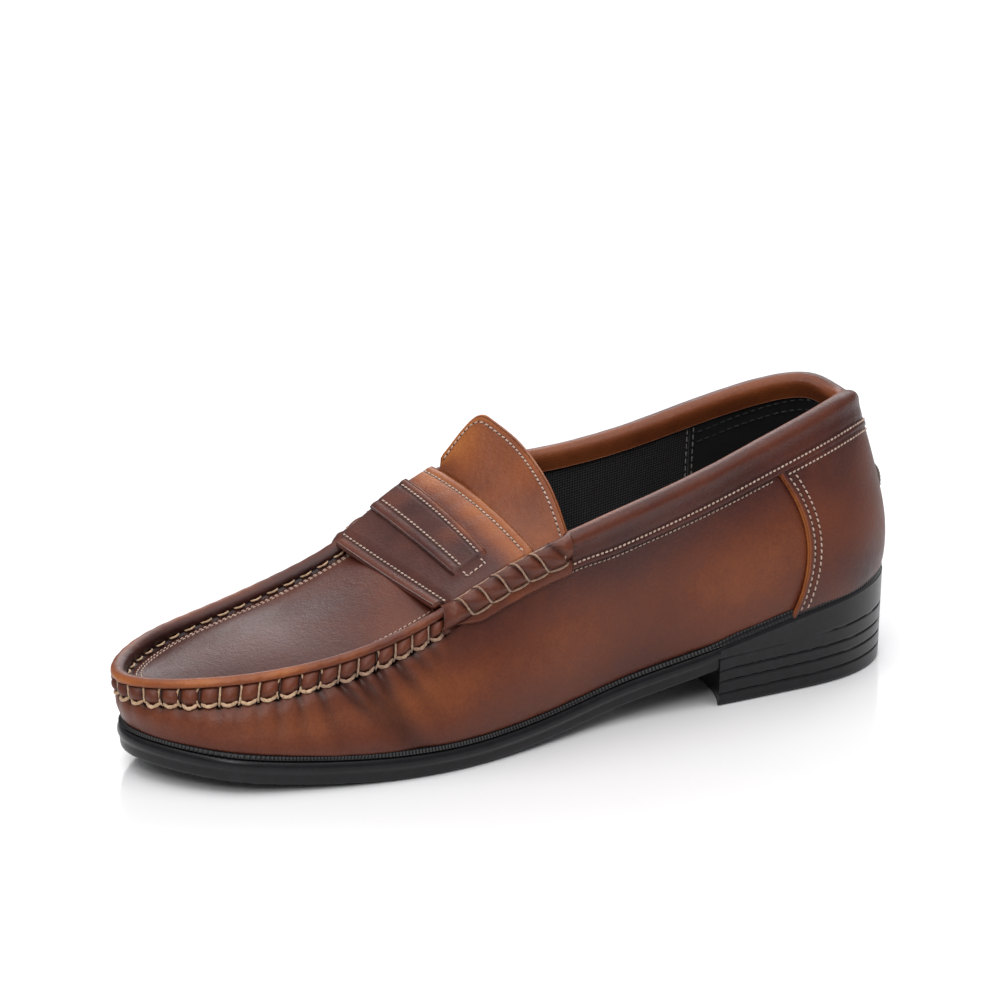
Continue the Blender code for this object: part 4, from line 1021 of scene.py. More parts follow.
def apron_stitch_path(distance, tree):
    """Line on the field that keeps a distance inside the ridge, dropped onto the leather."""
    lap = np.linspace(SADDLE_FRONT_LAP - 0.15, LAP - SADDLE_FRONT_LAP + 0.15, 700)
    path = wall_drop(lap, field_depth(lap), FIELD_OUT)
    path[:, :2] -= edge_normal(lap) * distance
    for point in path:
        start = Vector((point[0], point[1], point[2] + 12 * MM))
        place = tree.ray_cast(start, Vector((0, 0, -1)))[0]
        if place is not None:
            point[2] = place.z
    return path


# ---- saddle strap and penny strip ---------------------------------------
SADDLE_LENGTH = 38 * MM
SADDLE_SAG = 0.9 * MM            # how much flatter the strap is at its front edge
SADDLE_HEIGHT = 2.2 * MM         # above the top line
STRAP_STITCH_INSET = 3.0 * MM    # stitches from the edges of both strips
# Drop and out of the strap's ends as they go down over the ridge, in millimetres.
STRAP_END_SHARES = (0, 0.35, 0.7, 1)
STRAP_END_DROPS = np.array([-2.2, -1.35, 0.7, 3.0]) * MM
STRAP_END_OUTS = np.array([0, 1.2, 1.9, 1.6]) * MM


def saddle_points(left_lap, right_lap, share, height, edge_out=1.1 * MM):
    """Points across the instep; share runs from the left ridge to the right one."""
    left = wall_drop(left_lap, -height, edge_out)
    right = wall_drop(LAP - right_lap, -height, edge_out)
    rear_share = (SADDLE_FRONT_LAP - left_lap) / (SADDLE_FRONT_LAP - SADDLE_REAR_LAP)
    crown = (0.5 + 2.3 * ease(rear_share)) * MM - SADDLE_SAG * (1 - ease(rear_share * 2.2))
    points = left * (1 - share)[..., None] + right * share[..., None]
    points[..., 2] += crown * 4 * share * (1 - share)
    return points


def strap_profile(distance, length):
    """Height of a strap with folded, stitched front and rear edges."""
    near = np.minimum(distance, length - distance)
    fold = 0.24 * MM * hump(near, 1.2 * MM, 1.0 * MM)
    channel = -0.14 * MM * hump(near, STRAP_STITCH_INSET, 0.55 * MM)
    return fold + channel


def strap_reach(left_lap):
    """1 where the strap's ends go down under the rolls, 0 at its free front corners."""
    return ease((8.02 - left_lap) / 0.17)


def strap_edge_out(left_lap):
    """The front corners end on the inner side of the seam ridge."""
    return (1.1 - 3.3 * (1 - strap_reach(left_lap))) * MM


def strap_side_points(left_lap, side, share):
    """End of the strap going down over the ridge to the roll; share 0 is the top."""
    lap = left_lap if side == "left" else LAP - left_lap
    share = share * (0.10 + 0.90 * strap_reach(left_lap))
    drop = np.interp(share, STRAP_END_SHARES, STRAP_END_DROPS)
    out = np.interp(share, STRAP_END_SHARES, STRAP_END_OUTS)
    return wall_drop(lap, drop, strap_edge_out(left_lap) + out)


def make_saddle_strap(materials):
    front_share = np.linspace(0, 1, 96)
    left_lap = SADDLE_FRONT_LAP + (SADDLE_REAR_LAP - SADDLE_FRONT_LAP) * front_share
    share = np.linspace(0, 1, 130)
    laps, shares = np.meshgrid(left_lap, share, indexing="ij")
    middle = saddle_points(laps, laps, shares, SADDLE_HEIGHT, strap_edge_out(laps))
    side_share = np.linspace(1, 0, 14)[:-1]
    side_laps, side_shares = np.meshgrid(left_lap, side_share, indexing="ij")
    left = strap_side_points(side_laps, "left", side_shares)
    right = strap_side_points(side_laps, "right", side_shares)[:, ::-1]
    grid = np.concatenate([left, middle, right], axis=1)
    normals = normals_towards(grid, (0, 0, 1))
    distance = front_share[:, None] * SADDLE_LENGTH
    relief = strap_profile(distance, SADDLE_LENGTH) + 0.16 * MM * smooth_noise(grid, 13 * MM, 41)
    grid = grid + normals * relief[..., None]
    tone = 0.26 + 0.06 * smooth_noise(grid, 20 * MM, 43)
    tone += 0.55 * ease((front_share[:, None] - 0.60) / 0.28)
    tone += 0.16 * hump(front_share[:, None], 0.03, 0.03)
    near = np.minimum(distance, SADDLE_LENGTH - distance)
    # Painted shade in the stitch channel near each edge.
    painted_shade = 0.35 * hump(near, STRAP_STITCH_INSET, 0.5 * MM)
    obj = leather_sheet("saddle_strap_leather", grid, (0, 0, 1), SADDLE_LEATHER, materials["strap"],
                        {"tone": tone, "painted_shade": painted_shade}, rim=6)
    return placed(obj, "strap_leather", "saddle_strap")


KEEPER_LEFT_LAPS = (7.62, 7.1)
KEEPER_RIGHT_LAPS = (7.5, 6.95)
KEEPER_SHARES = (0.11, 1.0)
KEEPER_WIDTH = 14 * MM
KEEPER_LENGTH = 58 * MM


def keeper_points(across, along, height):
    """Point on the penny strip: across 0..1 front to rear, along 0..1 left to right."""
    left_lap = KEEPER_LEFT_LAPS[0] + (KEEPER_LEFT_LAPS[1] - KEEPER_LEFT_LAPS[0]) * across
    right_lap = KEEPER_RIGHT_LAPS[0] + (KEEPER_RIGHT_LAPS[1] - KEEPER_RIGHT_LAPS[0]) * across
    share = KEEPER_SHARES[0] + (KEEPER_SHARES[1] - KEEPER_SHARES[0]) * along
    return saddle_points(left_lap, right_lap, share, height)


def make_penny_keeper(materials):
    across = np.linspace(0, 1, 44)
    cross, length = np.meshgrid(across, np.linspace(0, 1, 170), indexing="ij")
    grid = keeper_points(cross, length, SADDLE_HEIGHT)
    normals = normals_towards(grid, (0, 0, 1))
    lift = 1.75 * MM * ease(length * KEEPER_LENGTH / (2.2 * MM)) - 0.5 * MM
    lift = lift + strap_profile(across[:, None] * KEEPER_WIDTH, KEEPER_WIDTH)
    lift = lift + 0.08 * MM * smooth_noise(grid, 11 * MM, 47)
    grid = grid + normals * lift[..., None]
    tone = 0.27 + 0.10 * smooth_noise(grid, 18 * MM, 49)
    tone += 0.3 * ease((across[:, None] - 0.8) / 0.2)
    near = np.minimum(across, 1 - across)[:, None] * KEEPER_WIDTH
    # Painted shade in the stitch channel near each edge.
    painted_shade = 0.35 * hump(near, STRAP_STITCH_INSET, 0.45 * MM)
    obj = leather_sheet("penny_keeper_leather", grid, (0, 0, 1), STRIP_LEATHER, materials["strap"],
                        {"tone": tone, "painted_shade": painted_shade}, rim=6)
    return placed(obj, "strap_leather", "penny_keeper")


# ---- beef rolls ---------------------------------------------------------
ROLL_UPPER_LAP = 7.834           # first upper hole
ROLL_STITCHES = 5
ROLL_FRONT_LAP = 8.0
ROLL_REAR_LAP = 5.95
ROLL_LOWERED = {"left": 0.0, "right": 1.3 * MM}
ROLL_GATHER = 2.3 * MM           # how deep each cross stitch pulls in
ROLL_CREST = 4 * MM              # drop of its fullest line
ROLL_FOOT = 9.4 * MM             # drop of the row of stitches under it
# Drop and out in millimetres, from the roll's upper edge to the flange under it.
ROLL_PROFILE = ((-0.7, 1.9), (-0.5, 3.3), (0.4, 4.9), (2.0, 6.1), (3.9, 6.6), (5.9, 6.2),
                (7.6, 4.9), (8.7, 3.2), (9.3, 2.2), (10.0, 2.2), (11.2, 2.35), (12.6, 2.3),
                (13.6, 2.1))


ROLL_THREAD = 0.37 * MM          # radius
# Drop and out of a cross stitch in millimetres.
ROLL_THREAD_PROFILE = ((-0.5, 2.3), (-0.2, 3.7), (0.8, 4.5), (2.2, 5.0), (3.9, 5.3),
                       (5.8, 5.0), (7.3, 4.2), (8.4, 3.3), (9.2, 2.0))


def roll_spread(lap):
    """The roll narrows towards its front end."""
    return 0.82 + 0.18 * (ROLL_FRONT_LAP - lap) / (ROLL_FRONT_LAP - ROLL_REAR_LAP)


def roll_drop(drop, spread):
    """Drop of a place on the roll once its lower part is narrowed."""
    return np.where(drop > ROLL_CREST, ROLL_CREST + (drop - ROLL_CREST) * spread, drop)


def roll_phase(lap, down):
    """Counts the roll's slanted cross stitches; down is 0 at its upper edge, 1 at the lower."""
    return (ROLL_UPPER_LAP - lap) / ROLL_PITCH_LAPS - down


def make_beef_roll(side, materials):
    share = np.linspace(0, 1, 190)
    lap = ROLL_FRONT_LAP + (ROLL_REAR_LAP - ROLL_FRONT_LAP) * share
    profile = profile_points(ROLL_PROFILE, 56)
    laps, drops = np.meshgrid(lap, profile[:, 0], indexing="ij")
    outs = np.broadcast_to(profile[:, 1], laps.shape)
    down = np.clip((drops + 0.4 * MM) / (9.3 * MM), 0, 1)
    phase = roll_phase(laps, down)
    roll = ease((ROLL_FOOT - drops) / (1.2 * MM))
    gather = (1 - np.abs(np.sin(math.pi * phase)) ** 0.85) * ROLL_GATHER
    inside_run = ease((phase + 0.45) / 0.2) * ease((ROLL_STITCHES + 0.4 - phase) / 0.2)
    ends = (np.clip(np.minimum(share, 1 - share) / 0.07, 0, 1) ** 0.5)[:, None]
    outs = outs - roll * gather * inside_run * np.sin(math.pi * down) ** 0.4
    outs = outs - (1 - ends) * roll * 3.2 * MM
    spread = roll_spread(laps)
    drops = roll_drop(drops, spread)
    flange = np.maximum(drops - ROLL_FOOT * spread, 0)
    drops = drops - flange * (1 - ease((share - 0.04) / 0.3))[:, None]
    outs = outs + 0.12 * MM * smooth_noise(wall_drop(laps, drops, outs), 7 * MM, 61)
    real_lap = laps if side == "left" else LAP - laps
    grid = wall_drop(real_lap, drops + ROLL_LOWERED[side], outs)
    tone = 0.40 + 0.10 * smooth_noise(grid, 14 * MM, 63) + 0.06 * (1 - roll)
    # Painted shade where the cross stitches pull the roll in, and along its foot.
    painted_shade = np.clip(0.75 * roll * gather / ROLL_GATHER * inside_run, 0, 1) ** 2
    painted_shade = np.maximum(painted_shade, 0.45 * hump(drops, ROLL_FOOT * spread, 0.6 * MM))
    hint = (1, 0, 0) if side == "left" else (-1, 0, 0)
    obj = leather_sheet(f"beef_roll_{side}_leather", grid, hint, STRIP_LEATHER, materials["strap"],
                        {"tone": tone, "painted_shade": painted_shade}, rim=5)
    return placed(obj, "strap_leather", f"beef_roll_{side}")


def roll_line(number, down):
    """Lap of a cross stitch at a place down the roll."""
    return ROLL_UPPER_LAP - (number + down) * ROLL_PITCH_LAPS


def make_roll_thread(side, materials):
    """Cross stitches over the roll and running stitches along both its edges."""
    def point(lap, drop, out):
        drop = roll_drop(drop, roll_spread(lap)) + ROLL_LOWERED[side]
        return wall_drop(lap if side == "left" else LAP - lap, drop, out)

    down = np.linspace(0, 1, 34)
    drop, out = profile_points(ROLL_THREAD_PROFILE, len(down)).T
    paths = [point(roll_line(number, down), drop, out) for number in range(ROLL_STITCHES)]
    along = np.linspace(0.05, 0.95, 20)
    arch = np.sin(math.pi * (along - 0.05) / 0.9) ** 0.6
    for number in range(ROLL_STITCHES):
        lap = roll_line(number + along, 0)
        paths.append(point(lap, (-0.1 - 0.1 * arch) * MM, (2.2 + 1.1 * arch) * MM))
        lap = roll_line(number + along, 1)
        paths.append(point(lap, ROLL_FOOT + 0.3 * MM * arch, (2.0 + 1.2 * arch) * MM))
    knot = roll_line(ROLL_STITCHES, 0.55)
    along = np.linspace(0, 1, 20)
    arch = np.sin(math.pi * along) ** 0.5
    for shift, end_drop in ((0.06, 1.4), (-0.10, 2.4)):
        drop = 8.6 + (end_drop - 8.6) * along
        paths.append(point(knot + shift * along, drop * MM, (2.2 + 1.9 * arch) * MM))
    threads(f"beef_roll_{side}_stitches", paths, ROLL_THREAD, materials["dull"],
            f"beef_roll_thread_{side}")


# ---- collar -------------------------------------------------------------
# Drop and out in millimetres, from the foot of the outer band over the top to the inside.
COLLAR_PROFILE = ((14.0, 1.9), (13.2, 2.05), (12.2, 1.9), (11.2, 1.55), (9.5, 1.65), (7.5, 1.7),
                  (5.8, 1.9), (4.2, 2.2), (2.6, 2.15), (1.2, 1.35), (0.3, 0.0), (0.0, -1.7),
                  (0.3, -3.4), (1.2, -4.7), (2.6, -5.3), (4.4, -5.35), (6.4, -5.15), (8.0, -5.0))
COLLAR_POINTS = 84


def collar_fit(lap):
    """The band narrows where it runs under the beef roll."""
    return 1 - 0.10 * ease((np.abs(lap) - 5.2) / 0.7)


def make_collar(materials):
    lap = even_laps(-COLLAR_START_LAP, COLLAR_START_LAP, 2 * MM, 0, 0.55 * MM)
    profile = profile_points(COLLAR_PROFILE, COLLAR_POINTS)
    laps, drops = np.meshgrid(lap, profile[:, 0], indexing="ij")
    drops = drops * np.where(drops > 5 * MM, collar_fit(laps), 1)
    outs = np.broadcast_to(profile[:, 1], laps.shape)
    plain = wall_drop(laps, drops, outs)
    top = hump(np.linspace(0, 1, COLLAR_POINTS), 0.55, 0.25)
    soft = 0.16 * smooth_noise(plain, 17 * MM, 71) * top + 0.05 * smooth_noise(plain, 6 * MM, 73)
    grid = wall_drop(laps, drops, outs + soft * MM)
    tone = collar_tone(laps, profile[None, :, 1], drops, plain)
    # Painted shade in the groove of the outer band.
    painted_shade = 0.4 * hump(drops, 11.2 * MM * collar_fit(laps), 0.5 * MM) * (outs > 0)
    obj = leather_sheet("collar_binding_leather", grid, (0, 0, 1), COLLAR_LEATHER, materials["collar"],
                        {"tone": tone, "painted_shade": painted_shade}, rim=5)
    return placed(obj, "collar_leather", "collar_binding")


def collar_tone(lap, out, drop, points):
    """Dark on the outer band with a painted highlight towards the rolled top, tan-orange on the inner
    side of the roll.
    """
    inner = ease((-out + 0.2 * MM) / (3.2 * MM))
    # Painted highlight: the outer band lightens towards the rolled top.
    outer = 0.20 + 0.16 * hump(drop, 2.6 * MM, 2.2 * MM)
    tone = outer + (0.62 - outer) * inner
    return tone + 0.08 * smooth_noise(points, 26 * MM, 75)


def collar_line(drop, out, start=-COLLAR_START_LAP, end=COLLAR_START_LAP):
    lap = np.linspace(start, end, 900)
    return wall_drop(lap, drop * collar_fit(lap), out)


# ---- back counter -------------------------------------------------------
def counter_front(rise):
    """Front edge of the heel piece, bowed forward in the middle."""
    return 3.02 - 0.42 * np.sin(math.pi * (0.1 + 0.8 * rise))


def counter_point(rise, lap, out):
    height = wall_height(lap)
    low = 0.2 * MM
    high = height - COLLAR_BAND + 1.2 * MM
    return wall(lap, (low + (high - low) * rise) / height, out)


def make_back_counter(materials):
    rises = np.linspace(0, 1, 120)
    share = np.linspace(-1, 1, 380)
    front = counter_front(rises)[:, None]
    laps = front * share[None, :]
    rise = np.broadcast_to(rises[:, None], laps.shape)
    to_edge = (1 - np.abs(share))[None, :] * front * 31 * MM
    fold = 0.5 * hump(to_edge, 1.2 * MM, 1.0 * MM) - 0.28 * hump(to_edge, 3.0 * MM, 0.7 * MM)
    to_back = np.abs(laps) * 24 * MM
    stay = 0.55 * ease((5.2 * MM - to_back) / (1.0 * MM)) - 0.25 * hump(to_back, 6.2 * MM, 0.6 * MM)
    plain = counter_point(rise, laps, 1.7 * MM)
    waves = 0.28 * smooth_noise(plain, 34 * MM, 81)
    grid = counter_point(rise, laps, 1.45 * MM + (fold + stay + waves) * MM)
    tone = 0.25 + 0.13 * hump(rise, 0.55, 0.35) + 0.10 * smooth_noise(plain, 24 * MM, 83)
    # Painted highlight along the folded front edge.
    tone = tone + 0.5 * hump(to_edge, 0.0, 0.7 * MM)
    # Painted shade in the groove behind the front edge and beside the back stay.
    painted_shade = 0.3 * hump(to_edge, 3.0 * MM, 0.6 * MM) + 0.3 * hump(to_back, 6.0 * MM, 0.5 * MM)
    obj = leather_sheet("back_counter_leather", grid, (0, 1, 0), SIDE_LEATHER, materials["side"],
                        {"tone": tone, "painted_shade": painted_shade}, rim=5)
    return placed(obj, "side_leather", "back_counter")


def make_backstay_thread(materials):
    """Thick thread whipped down the back of the heel, fullest in the middle of its length."""
    share = np.linspace(-1, 1, 22)
    paths = []
    for number in range(BACKSTAY_TURNS):
        drop = BACKSTAY_DROP + BACKSTAY_LENGTH * number / (BACKSTAY_TURNS - 1)
        swell = math.sin(math.pi * (number + 0.6) / (BACKSTAY_TURNS + 0.2)) ** 0.7
        out = (1.9 + (1.2 + 2.6 * swell) * (1 - np.abs(share) ** 2.4)) * MM
        paths.append(wall_drop(BACKSTAY_HALF_LAP * share, drop + 0.9 * MM * share, out))
    threads("backstay_thread_whipped", paths, BACKSTAY_THREAD, materials["olive"],
            "backstay_thread", twist=1200)


# ---- tongue -------------------------------------------------------------
TONGUE_UNDER = 0.28              # part of its length that goes on under the strap
TONGUE_FACING = np.array([0, -0.5, 1])


def widened(points, left, right):
    """Outline with its first and last points moved, to reach under the collar."""
    points = np.array(points, float)
    points[0] += left
    points[-1] += right
    return points


def tongue_points(across, along):
    """Tongue face; along is 0 at the line it bends about and 1 at its free edge."""
    root = open_curve(widened(TONGUE_ROOT, (0.5, 0, -2), (-4.5, -1, -0.5)) * MM + SHIFT_3D)
    edge = open_curve(widened(TONGUE_EDGE, (1, 2.5, -4.5), (-3.5, -4.5, -6)) * MM + SHIFT_3D)
    low, high = root(across), edge(across)
    point = low + (high - low) * along[..., None]
    point[..., 2] -= 1.2 * MM * np.sin(math.pi * np.clip(along, 0, 1))
    return point


def make_tongue(materials):
    across = np.linspace(0, 1, 150)
    along = np.linspace(-TONGUE_UNDER, 1, 72)
    lengths, widths = np.meshgrid(along, across, indexing="ij")
    grid = tongue_points(widths, lengths)
    grid[..., 2] -= 2.2 * MM * np.maximum(-lengths, 0) / TONGUE_UNDER
    normals = normals_towards(grid, TONGUE_FACING)
    wrinkle = 0.10 * smooth_noise(grid, 9 * MM, 91) + 0.05 * smooth_noise(grid, 3.2 * MM, 93)
    grid = grid + normals * (wrinkle * MM)[..., None]
    tone = 0.62 + 0.30 * ease((widths - 0.45) / 0.5) * ease((lengths - 0.1) / 0.7)
    tone += 0.05 * smooth_noise(grid, 16 * MM, 95) + 0.12 * hump(lengths, 1.0, 0.05)
    obj = leather_sheet("tongue_leather_flap", grid, TONGUE_FACING, TONGUE_LEATHER, materials["tongue"],
                        {"tone": tone, "painted_shade": 0.0 * tone}, rim=6)
    return bend_with_tongue(obj, "tongue")


def bend_with_tongue(obj, node):
    """Bakes the piece's transform into its mesh and hides the CAD node it stands for."""
    joint = frame["joints"][0]
    forward = np.cross(joint["axis"], (0, 0, 1))
    forward /= np.linalg.norm(forward)
    if forward[1] < 0:
        forward = -forward
    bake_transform(obj)
    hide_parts(node)
    return obj


def make_tongue_lining(materials):
    across = np.linspace(0.03, 0.97, 90)
    along = np.linspace(0, 0.97, 40)
    lengths, widths = np.meshgrid(along, across, indexing="ij")
    grid = tongue_points(widths, lengths)
    grid = grid - normals_towards(grid, TONGUE_FACING) * 2.2 * MM
    obj = leather_sheet("tongue_lining_cloth", grid, -TONGUE_FACING, TONGUE_CLOTH,
                        materials["mesh"], cloth_values(grid))
    return bend_with_tongue(obj, "tongue_lining")


# ---- linings and sock ---------------------------------------------------
LINING_OUT = -3.8 * MM           # visible face of the side linings
LINING_FOOT = 2.6 * MM           # up the wall to the linings' lower edge
LINING_TOP_DROP = 5.4 * MM
SOCK_INSET = FEATHER_INSET + 5.0 * MM
SOCK_TOP = 5.5 * MM              # above the foot of the upper
HEEL_PAD_RISE = 2.8 * MM


def cloth_values(grid):
    """Distances along and across a cloth, for its knitted pattern."""
    down = np.linalg.norm(np.diff(grid, axis=0), axis=2)
    right = np.linalg.norm(np.diff(grid, axis=1), axis=2)
    u = np.concatenate([np.zeros((1, grid.shape[1])), np.cumsum(down, axis=0)])
    v = np.concatenate([np.zeros((grid.shape[0], 1)), np.cumsum(right, axis=1)], axis=1)
    return {"cloth_u": u, "cloth_v": v}


def wall_lining(name, start, end, out, hint, material):
    """Lining from the sock up under the rolled edge; its visible face looks inward."""
    lap = even_laps(start, end, 30 * MM, 0, 0.8 * MM)
    height = wall_height(lap)[:, None]
    share = np.linspace(0, 1, 70)
    rise = (LINING_FOOT + (height - LINING_TOP_DROP - LINING_FOOT) * share) / height
    laps = np.broadcast_to(lap[:, None], rise.shape)
    soft = 0.25 * smooth_noise(wall(laps, rise, out), 22 * MM, 101)
    grid = wall(laps, rise, out + soft * MM)
    obj = leather_sheet(name, grid, hint, SIDE_CLOTH, material, cloth_values(grid))
    return obj


def make_linings(materials):
    """Black mesh along both sides, and a smooth grip lining round the heel."""
    rear, front = HEEL_LINING_LAP - 0.02, SADDLE_REAR_LAP - 0.02
    for word, start, end, inward in (("left", rear, front, -1),
                                     ("right", LAP - front, LAP - rear, 1)):
        quarter = wall_lining(f"quarter_lining_{word}_cloth", start, end, LINING_OUT,
                              (inward, 0, 0), materials["mesh"])
        placed(quarter, "lining_cloth", f"quarter_lining_{word}")
    heel = wall_lining("heel_lining_grip", -HEEL_LINING_LAP, HEEL_LINING_LAP,
                       LINING_OUT - 0.25 * MM, (0, -1, 0), materials["grip"])
    placed(heel, "grip_lining", "heel_lining")


def make_sock(materials):
    """Sock liner with a soft dish at the heel."""
    lap = np.linspace(0, TOE_LAP, 240)
    left = sole_point(lap, SOCK_INSET)[:, None]
    right = sole_point(LAP - lap, SOCK_INSET)[:, None]
    share = np.linspace(0, 1, 60)[:, None]
    plan = left * (1 - share) + right * share
    y = plan[..., 1]
    heel = ease((y - 35 * MM) / (30 * MM))
    dish = 1.3 * MM * heel * (1 - (2 * share[:, 0] - 1) ** 2)
    height = feather_height(y) + SOCK_TOP + HEEL_PAD_RISE * heel - dish
    grid = np.concatenate([plan, height[..., None]], -1)
    obj = leather_sheet("sock_liner_cover", grid, (0, 0, 1), SOCK_CLOTH, materials["grip"],
                        merge=0.02 * MM)
    return placed(obj, "grip_lining", "sock_liner")


# ---- sole and heel ------------------------------------------------------
# Inset in millimetres and share of the sole's height, from the underside up.
EDGE_PROFILE = ((3.0, 0.0), (2.0, 0.02), (1.3, 0.07), (0.95, 0.18), (0.8, 0.34), (0.7, 0.46),
                (0.15, 0.56), (0.0, 0.68), (0.2, 0.81), (0.8, 0.92), (1.7, 0.985), (2.6, 1.0))


def heel_share(y):
    """1 where the sole edge lies over the heel, 0 ahead of it."""
    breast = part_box("heel_block")[0][1]
    return ease((y - breast + 6 * MM) / (16 * MM))


def sole_edge(lap):
    """Sole edge from the underside up: rounded in front, squarer over the heel."""
    squarer = 1 - 0.8 * heel_share(sole_point(lap, 0)[:, 1])
    columns = []
    for inset, share in profile_points(EDGE_PROFILE, 30, (MM, 1)):
        plan = sole_point(lap, inset * squarer + 0.25 * MM)
        low, high = sole_bottom(plan[:, 1]), feather_height(plan[:, 1]) - 0.05 * MM
        columns.append(np.concatenate([plan, (low + (high - low) * share)[:, None]], 1))
    return np.stack(columns, 1)


def make_outsole(materials):
    """Rubber sole in rings across the shoe: one edge, the top, the other edge, the underside."""
    lap = np.linspace(0, TOE_LAP, 420)
    left = sole_edge(lap)
    right = sole_edge(LAP - lap)[:, ::-1]
    share = np.linspace(0, 1, 16)[1:-1][None, :, None]
    top = left[:, -1:] * (1 - share) + right[:, :1] * share
    top[..., 2] = feather_height(top[..., 1])
    under = right[:, -1:] * (1 - share) + left[:, :1] * share
    under[..., 2] = sole_bottom(under[..., 1])
    loops = np.concatenate([left, top, right, under], axis=1)
    obj = mesh_object("outsole_rubber", loops.reshape(-1, 3), ring_quads(*loops.shape[:2]),
                      materials["rubber"], merge=0.02 * MM)
    return placed(obj, "black_rubber", "outsole")


RAND_LENGTH = 690 * MM           # once round the shoe
# Up the wall, out from it and the tooth's depth, in millimetres.
RAND_PROFILE = ((0.15, 2.3, 0.0), (0.25, 2.6, 0.1), (0.9, 1.9, 0.5), (1.7, 1.25, 0.55),
                (2.3, 0.95, 0.45), (2.5, 0.5, 0.1), (2.4, -0.6, 0.0))


def make_teeth(materials):
    """Toothed strip that hides the joint between the upper and the sole."""
    count = round(RAND_LENGTH / TOOTH_PITCH)
    per_tooth = 6
    lap = even_laps(0, LAP, 60 * MM, 0, RAND_LENGTH / (count * per_tooth))[:-1]
    phase = np.arange(len(lap)) / per_tooth
    tooth = np.abs(np.cos(math.pi * phase)) ** 0.7
    size = 0.5 + 0.5 * heel_share(sole_point(lap, 0)[:, 1])
    columns = []
    for lift, out, depth in RAND_PROFILE:
        height = (lift + (0.35 * tooth if lift > 2 else 0.0)) * size * MM
        base = wall(lap, height / wall_height(lap), (out + depth * tooth - 0.55) * MM)
        base[:, 2] = np.maximum(base[:, 2], feather_height(base[:, 1]) + 0.05 * MM)
        columns.append(base)
    grid = np.stack(columns, 1)
    obj = mesh_object("toothed_rand_rubber", grid.reshape(-1, 3),
                      grid_quads(*grid.shape[:2], wrap=True), materials["rubber"])
    return placed(obj, "black_rubber", "toothed_rand")


HEEL_SIDE_LAP = 3.72             # the heel's side runs this far forward
# Height of each groove at its front and back in millimetres, and its strength halfway along.
HEEL_GROOVES = ((4.5, 5.8, 1.0), (9.2, 11.0, 1.0), (13.5, 15.6, 1.0), (18.2, 21.6, 0.0))


def groove_depth(y, z):
    """Grooves round the heel, fanning out to the back and stopping short of the breast."""
    low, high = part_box("heel_block")
    along = np.clip((y - low[1]) / (high[1] - low[1]), 0, 1)
    start = ease((along - 0.035) / 0.02)
    depth = np.zeros_like(z)
    for front, back, middle in HEEL_GROOVES:
        line = (front + (back - front) * along) * MM
        strength = middle + (1 - middle) * (1 - hump(along, 0.42, 0.2))
        depth += hump(z, line, 0.24 * MM) * strength
    return depth * start * 0.6 * MM


def heel_level(share):
    """Outline of the heel at a share of its height: round the back, then the hollowed front."""
    laps = np.linspace(-HEEL_SIDE_LAP, HEEL_SIDE_LAP, 259)
    inset = (1.05 * (1 - share) + 0.7 * ease((0.03 - share) / 0.03)) * MM
    around = sole_point(laps, inset + 0.12 * MM)
    around[[0, -1], 1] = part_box("heel_block")[0][1]
    hollow = np.linspace(0, 1, 62)[1:-1]
    front = around[-1] * (1 - hollow)[:, None] + around[0] * hollow[:, None]
    front[:, 1] += HEEL_BREAST_HOLLOW * 4 * hollow * (1 - hollow)
    top = np.concatenate([feather_height(around[:, 1]) - 1.3 * MM, sole_bottom(front[:, 1])])
    z = top * share
    dent = groove_depth(around[:, 1], z[:len(laps)])
    outline = np.vstack([around - edge_normal(laps) * dent[:, None], front])
    return np.concatenate([outline, z[:, None]], 1)


def make_heel(materials):
    """Heel block and top lift as one moulded-looking stack with a hollowed breast."""
    grid = np.array([heel_level(share) for share in np.linspace(0, 1, 76)])
    levels, size = grid.shape[:2]
    faces = [*ring_quads(levels, size), range(size)]
    obj = mesh_object("heel_block_rubber", grid.reshape(-1, 3), faces, materials["rubber"],
                      merge=0.005 * MM)
    obj.data.set_sharp_from_angle(angle=math.radians(55))
    return placed(obj, "black_rubber", "heel_block", "heel_top_lift")


# ---- machine-stitched rows ----------------------------------------------
COLLAR_ROW_DROP = 11.9 * MM
BELOW_COLLAR_DROP = 15.6 * MM
COUNTER_ROWS = (0.095, 0.185)    # behind the heel piece's front edge, in laps
APRON_ROWS = (1.7 * MM, 3.3 * MM)
APRON_ROW_THREAD = 0.25 * MM     # radius
TONGUE_ROW_INSET = 2.3 * MM
BOX_LENGTH = 0.055               # stitched box at the strip's end, in shares of its length


def stitch_collar(trees, materials):
    """One row on the collar's band and one below it, on the sides and the heel piece."""
    pitch = 1.9 * MM
    path = collar_line(COLLAR_ROW_DROP, 2.0 * MM)
    stitch_row("collar_stitches_upper", path, trees["collar"], materials, pitch)
    for sign, word in ((1, "left"), (-1, "right")):
        path = collar_line(BELOW_COLLAR_DROP, 0.2 * MM, sign * 2.95, sign * COLLAR_START_LAP)
        stitch_row(f"collar_stitches_lower_{word}", path, trees["side"], materials, pitch)
    path = collar_line(BELOW_COLLAR_DROP, 1.8 * MM, -2.75, 2.75)
    stitch_row("collar_stitches_back", path, trees["counter"], materials, pitch)


def stitch_counter(trees, materials):
    """Two rows beside each front edge of the heel piece."""
    rise = np.linspace(0.03, 0.93, 300)
    for sign, word in ((1, "left"), (-1, "right")):
        for number, inward in enumerate(COUNTER_ROWS, start=1):
            path = counter_point(rise, sign * (counter_front(rise) - inward), 1.9 * MM)
            stitch_row(f"counter_stitches_{word}_{number}", path, trees["counter"], materials)


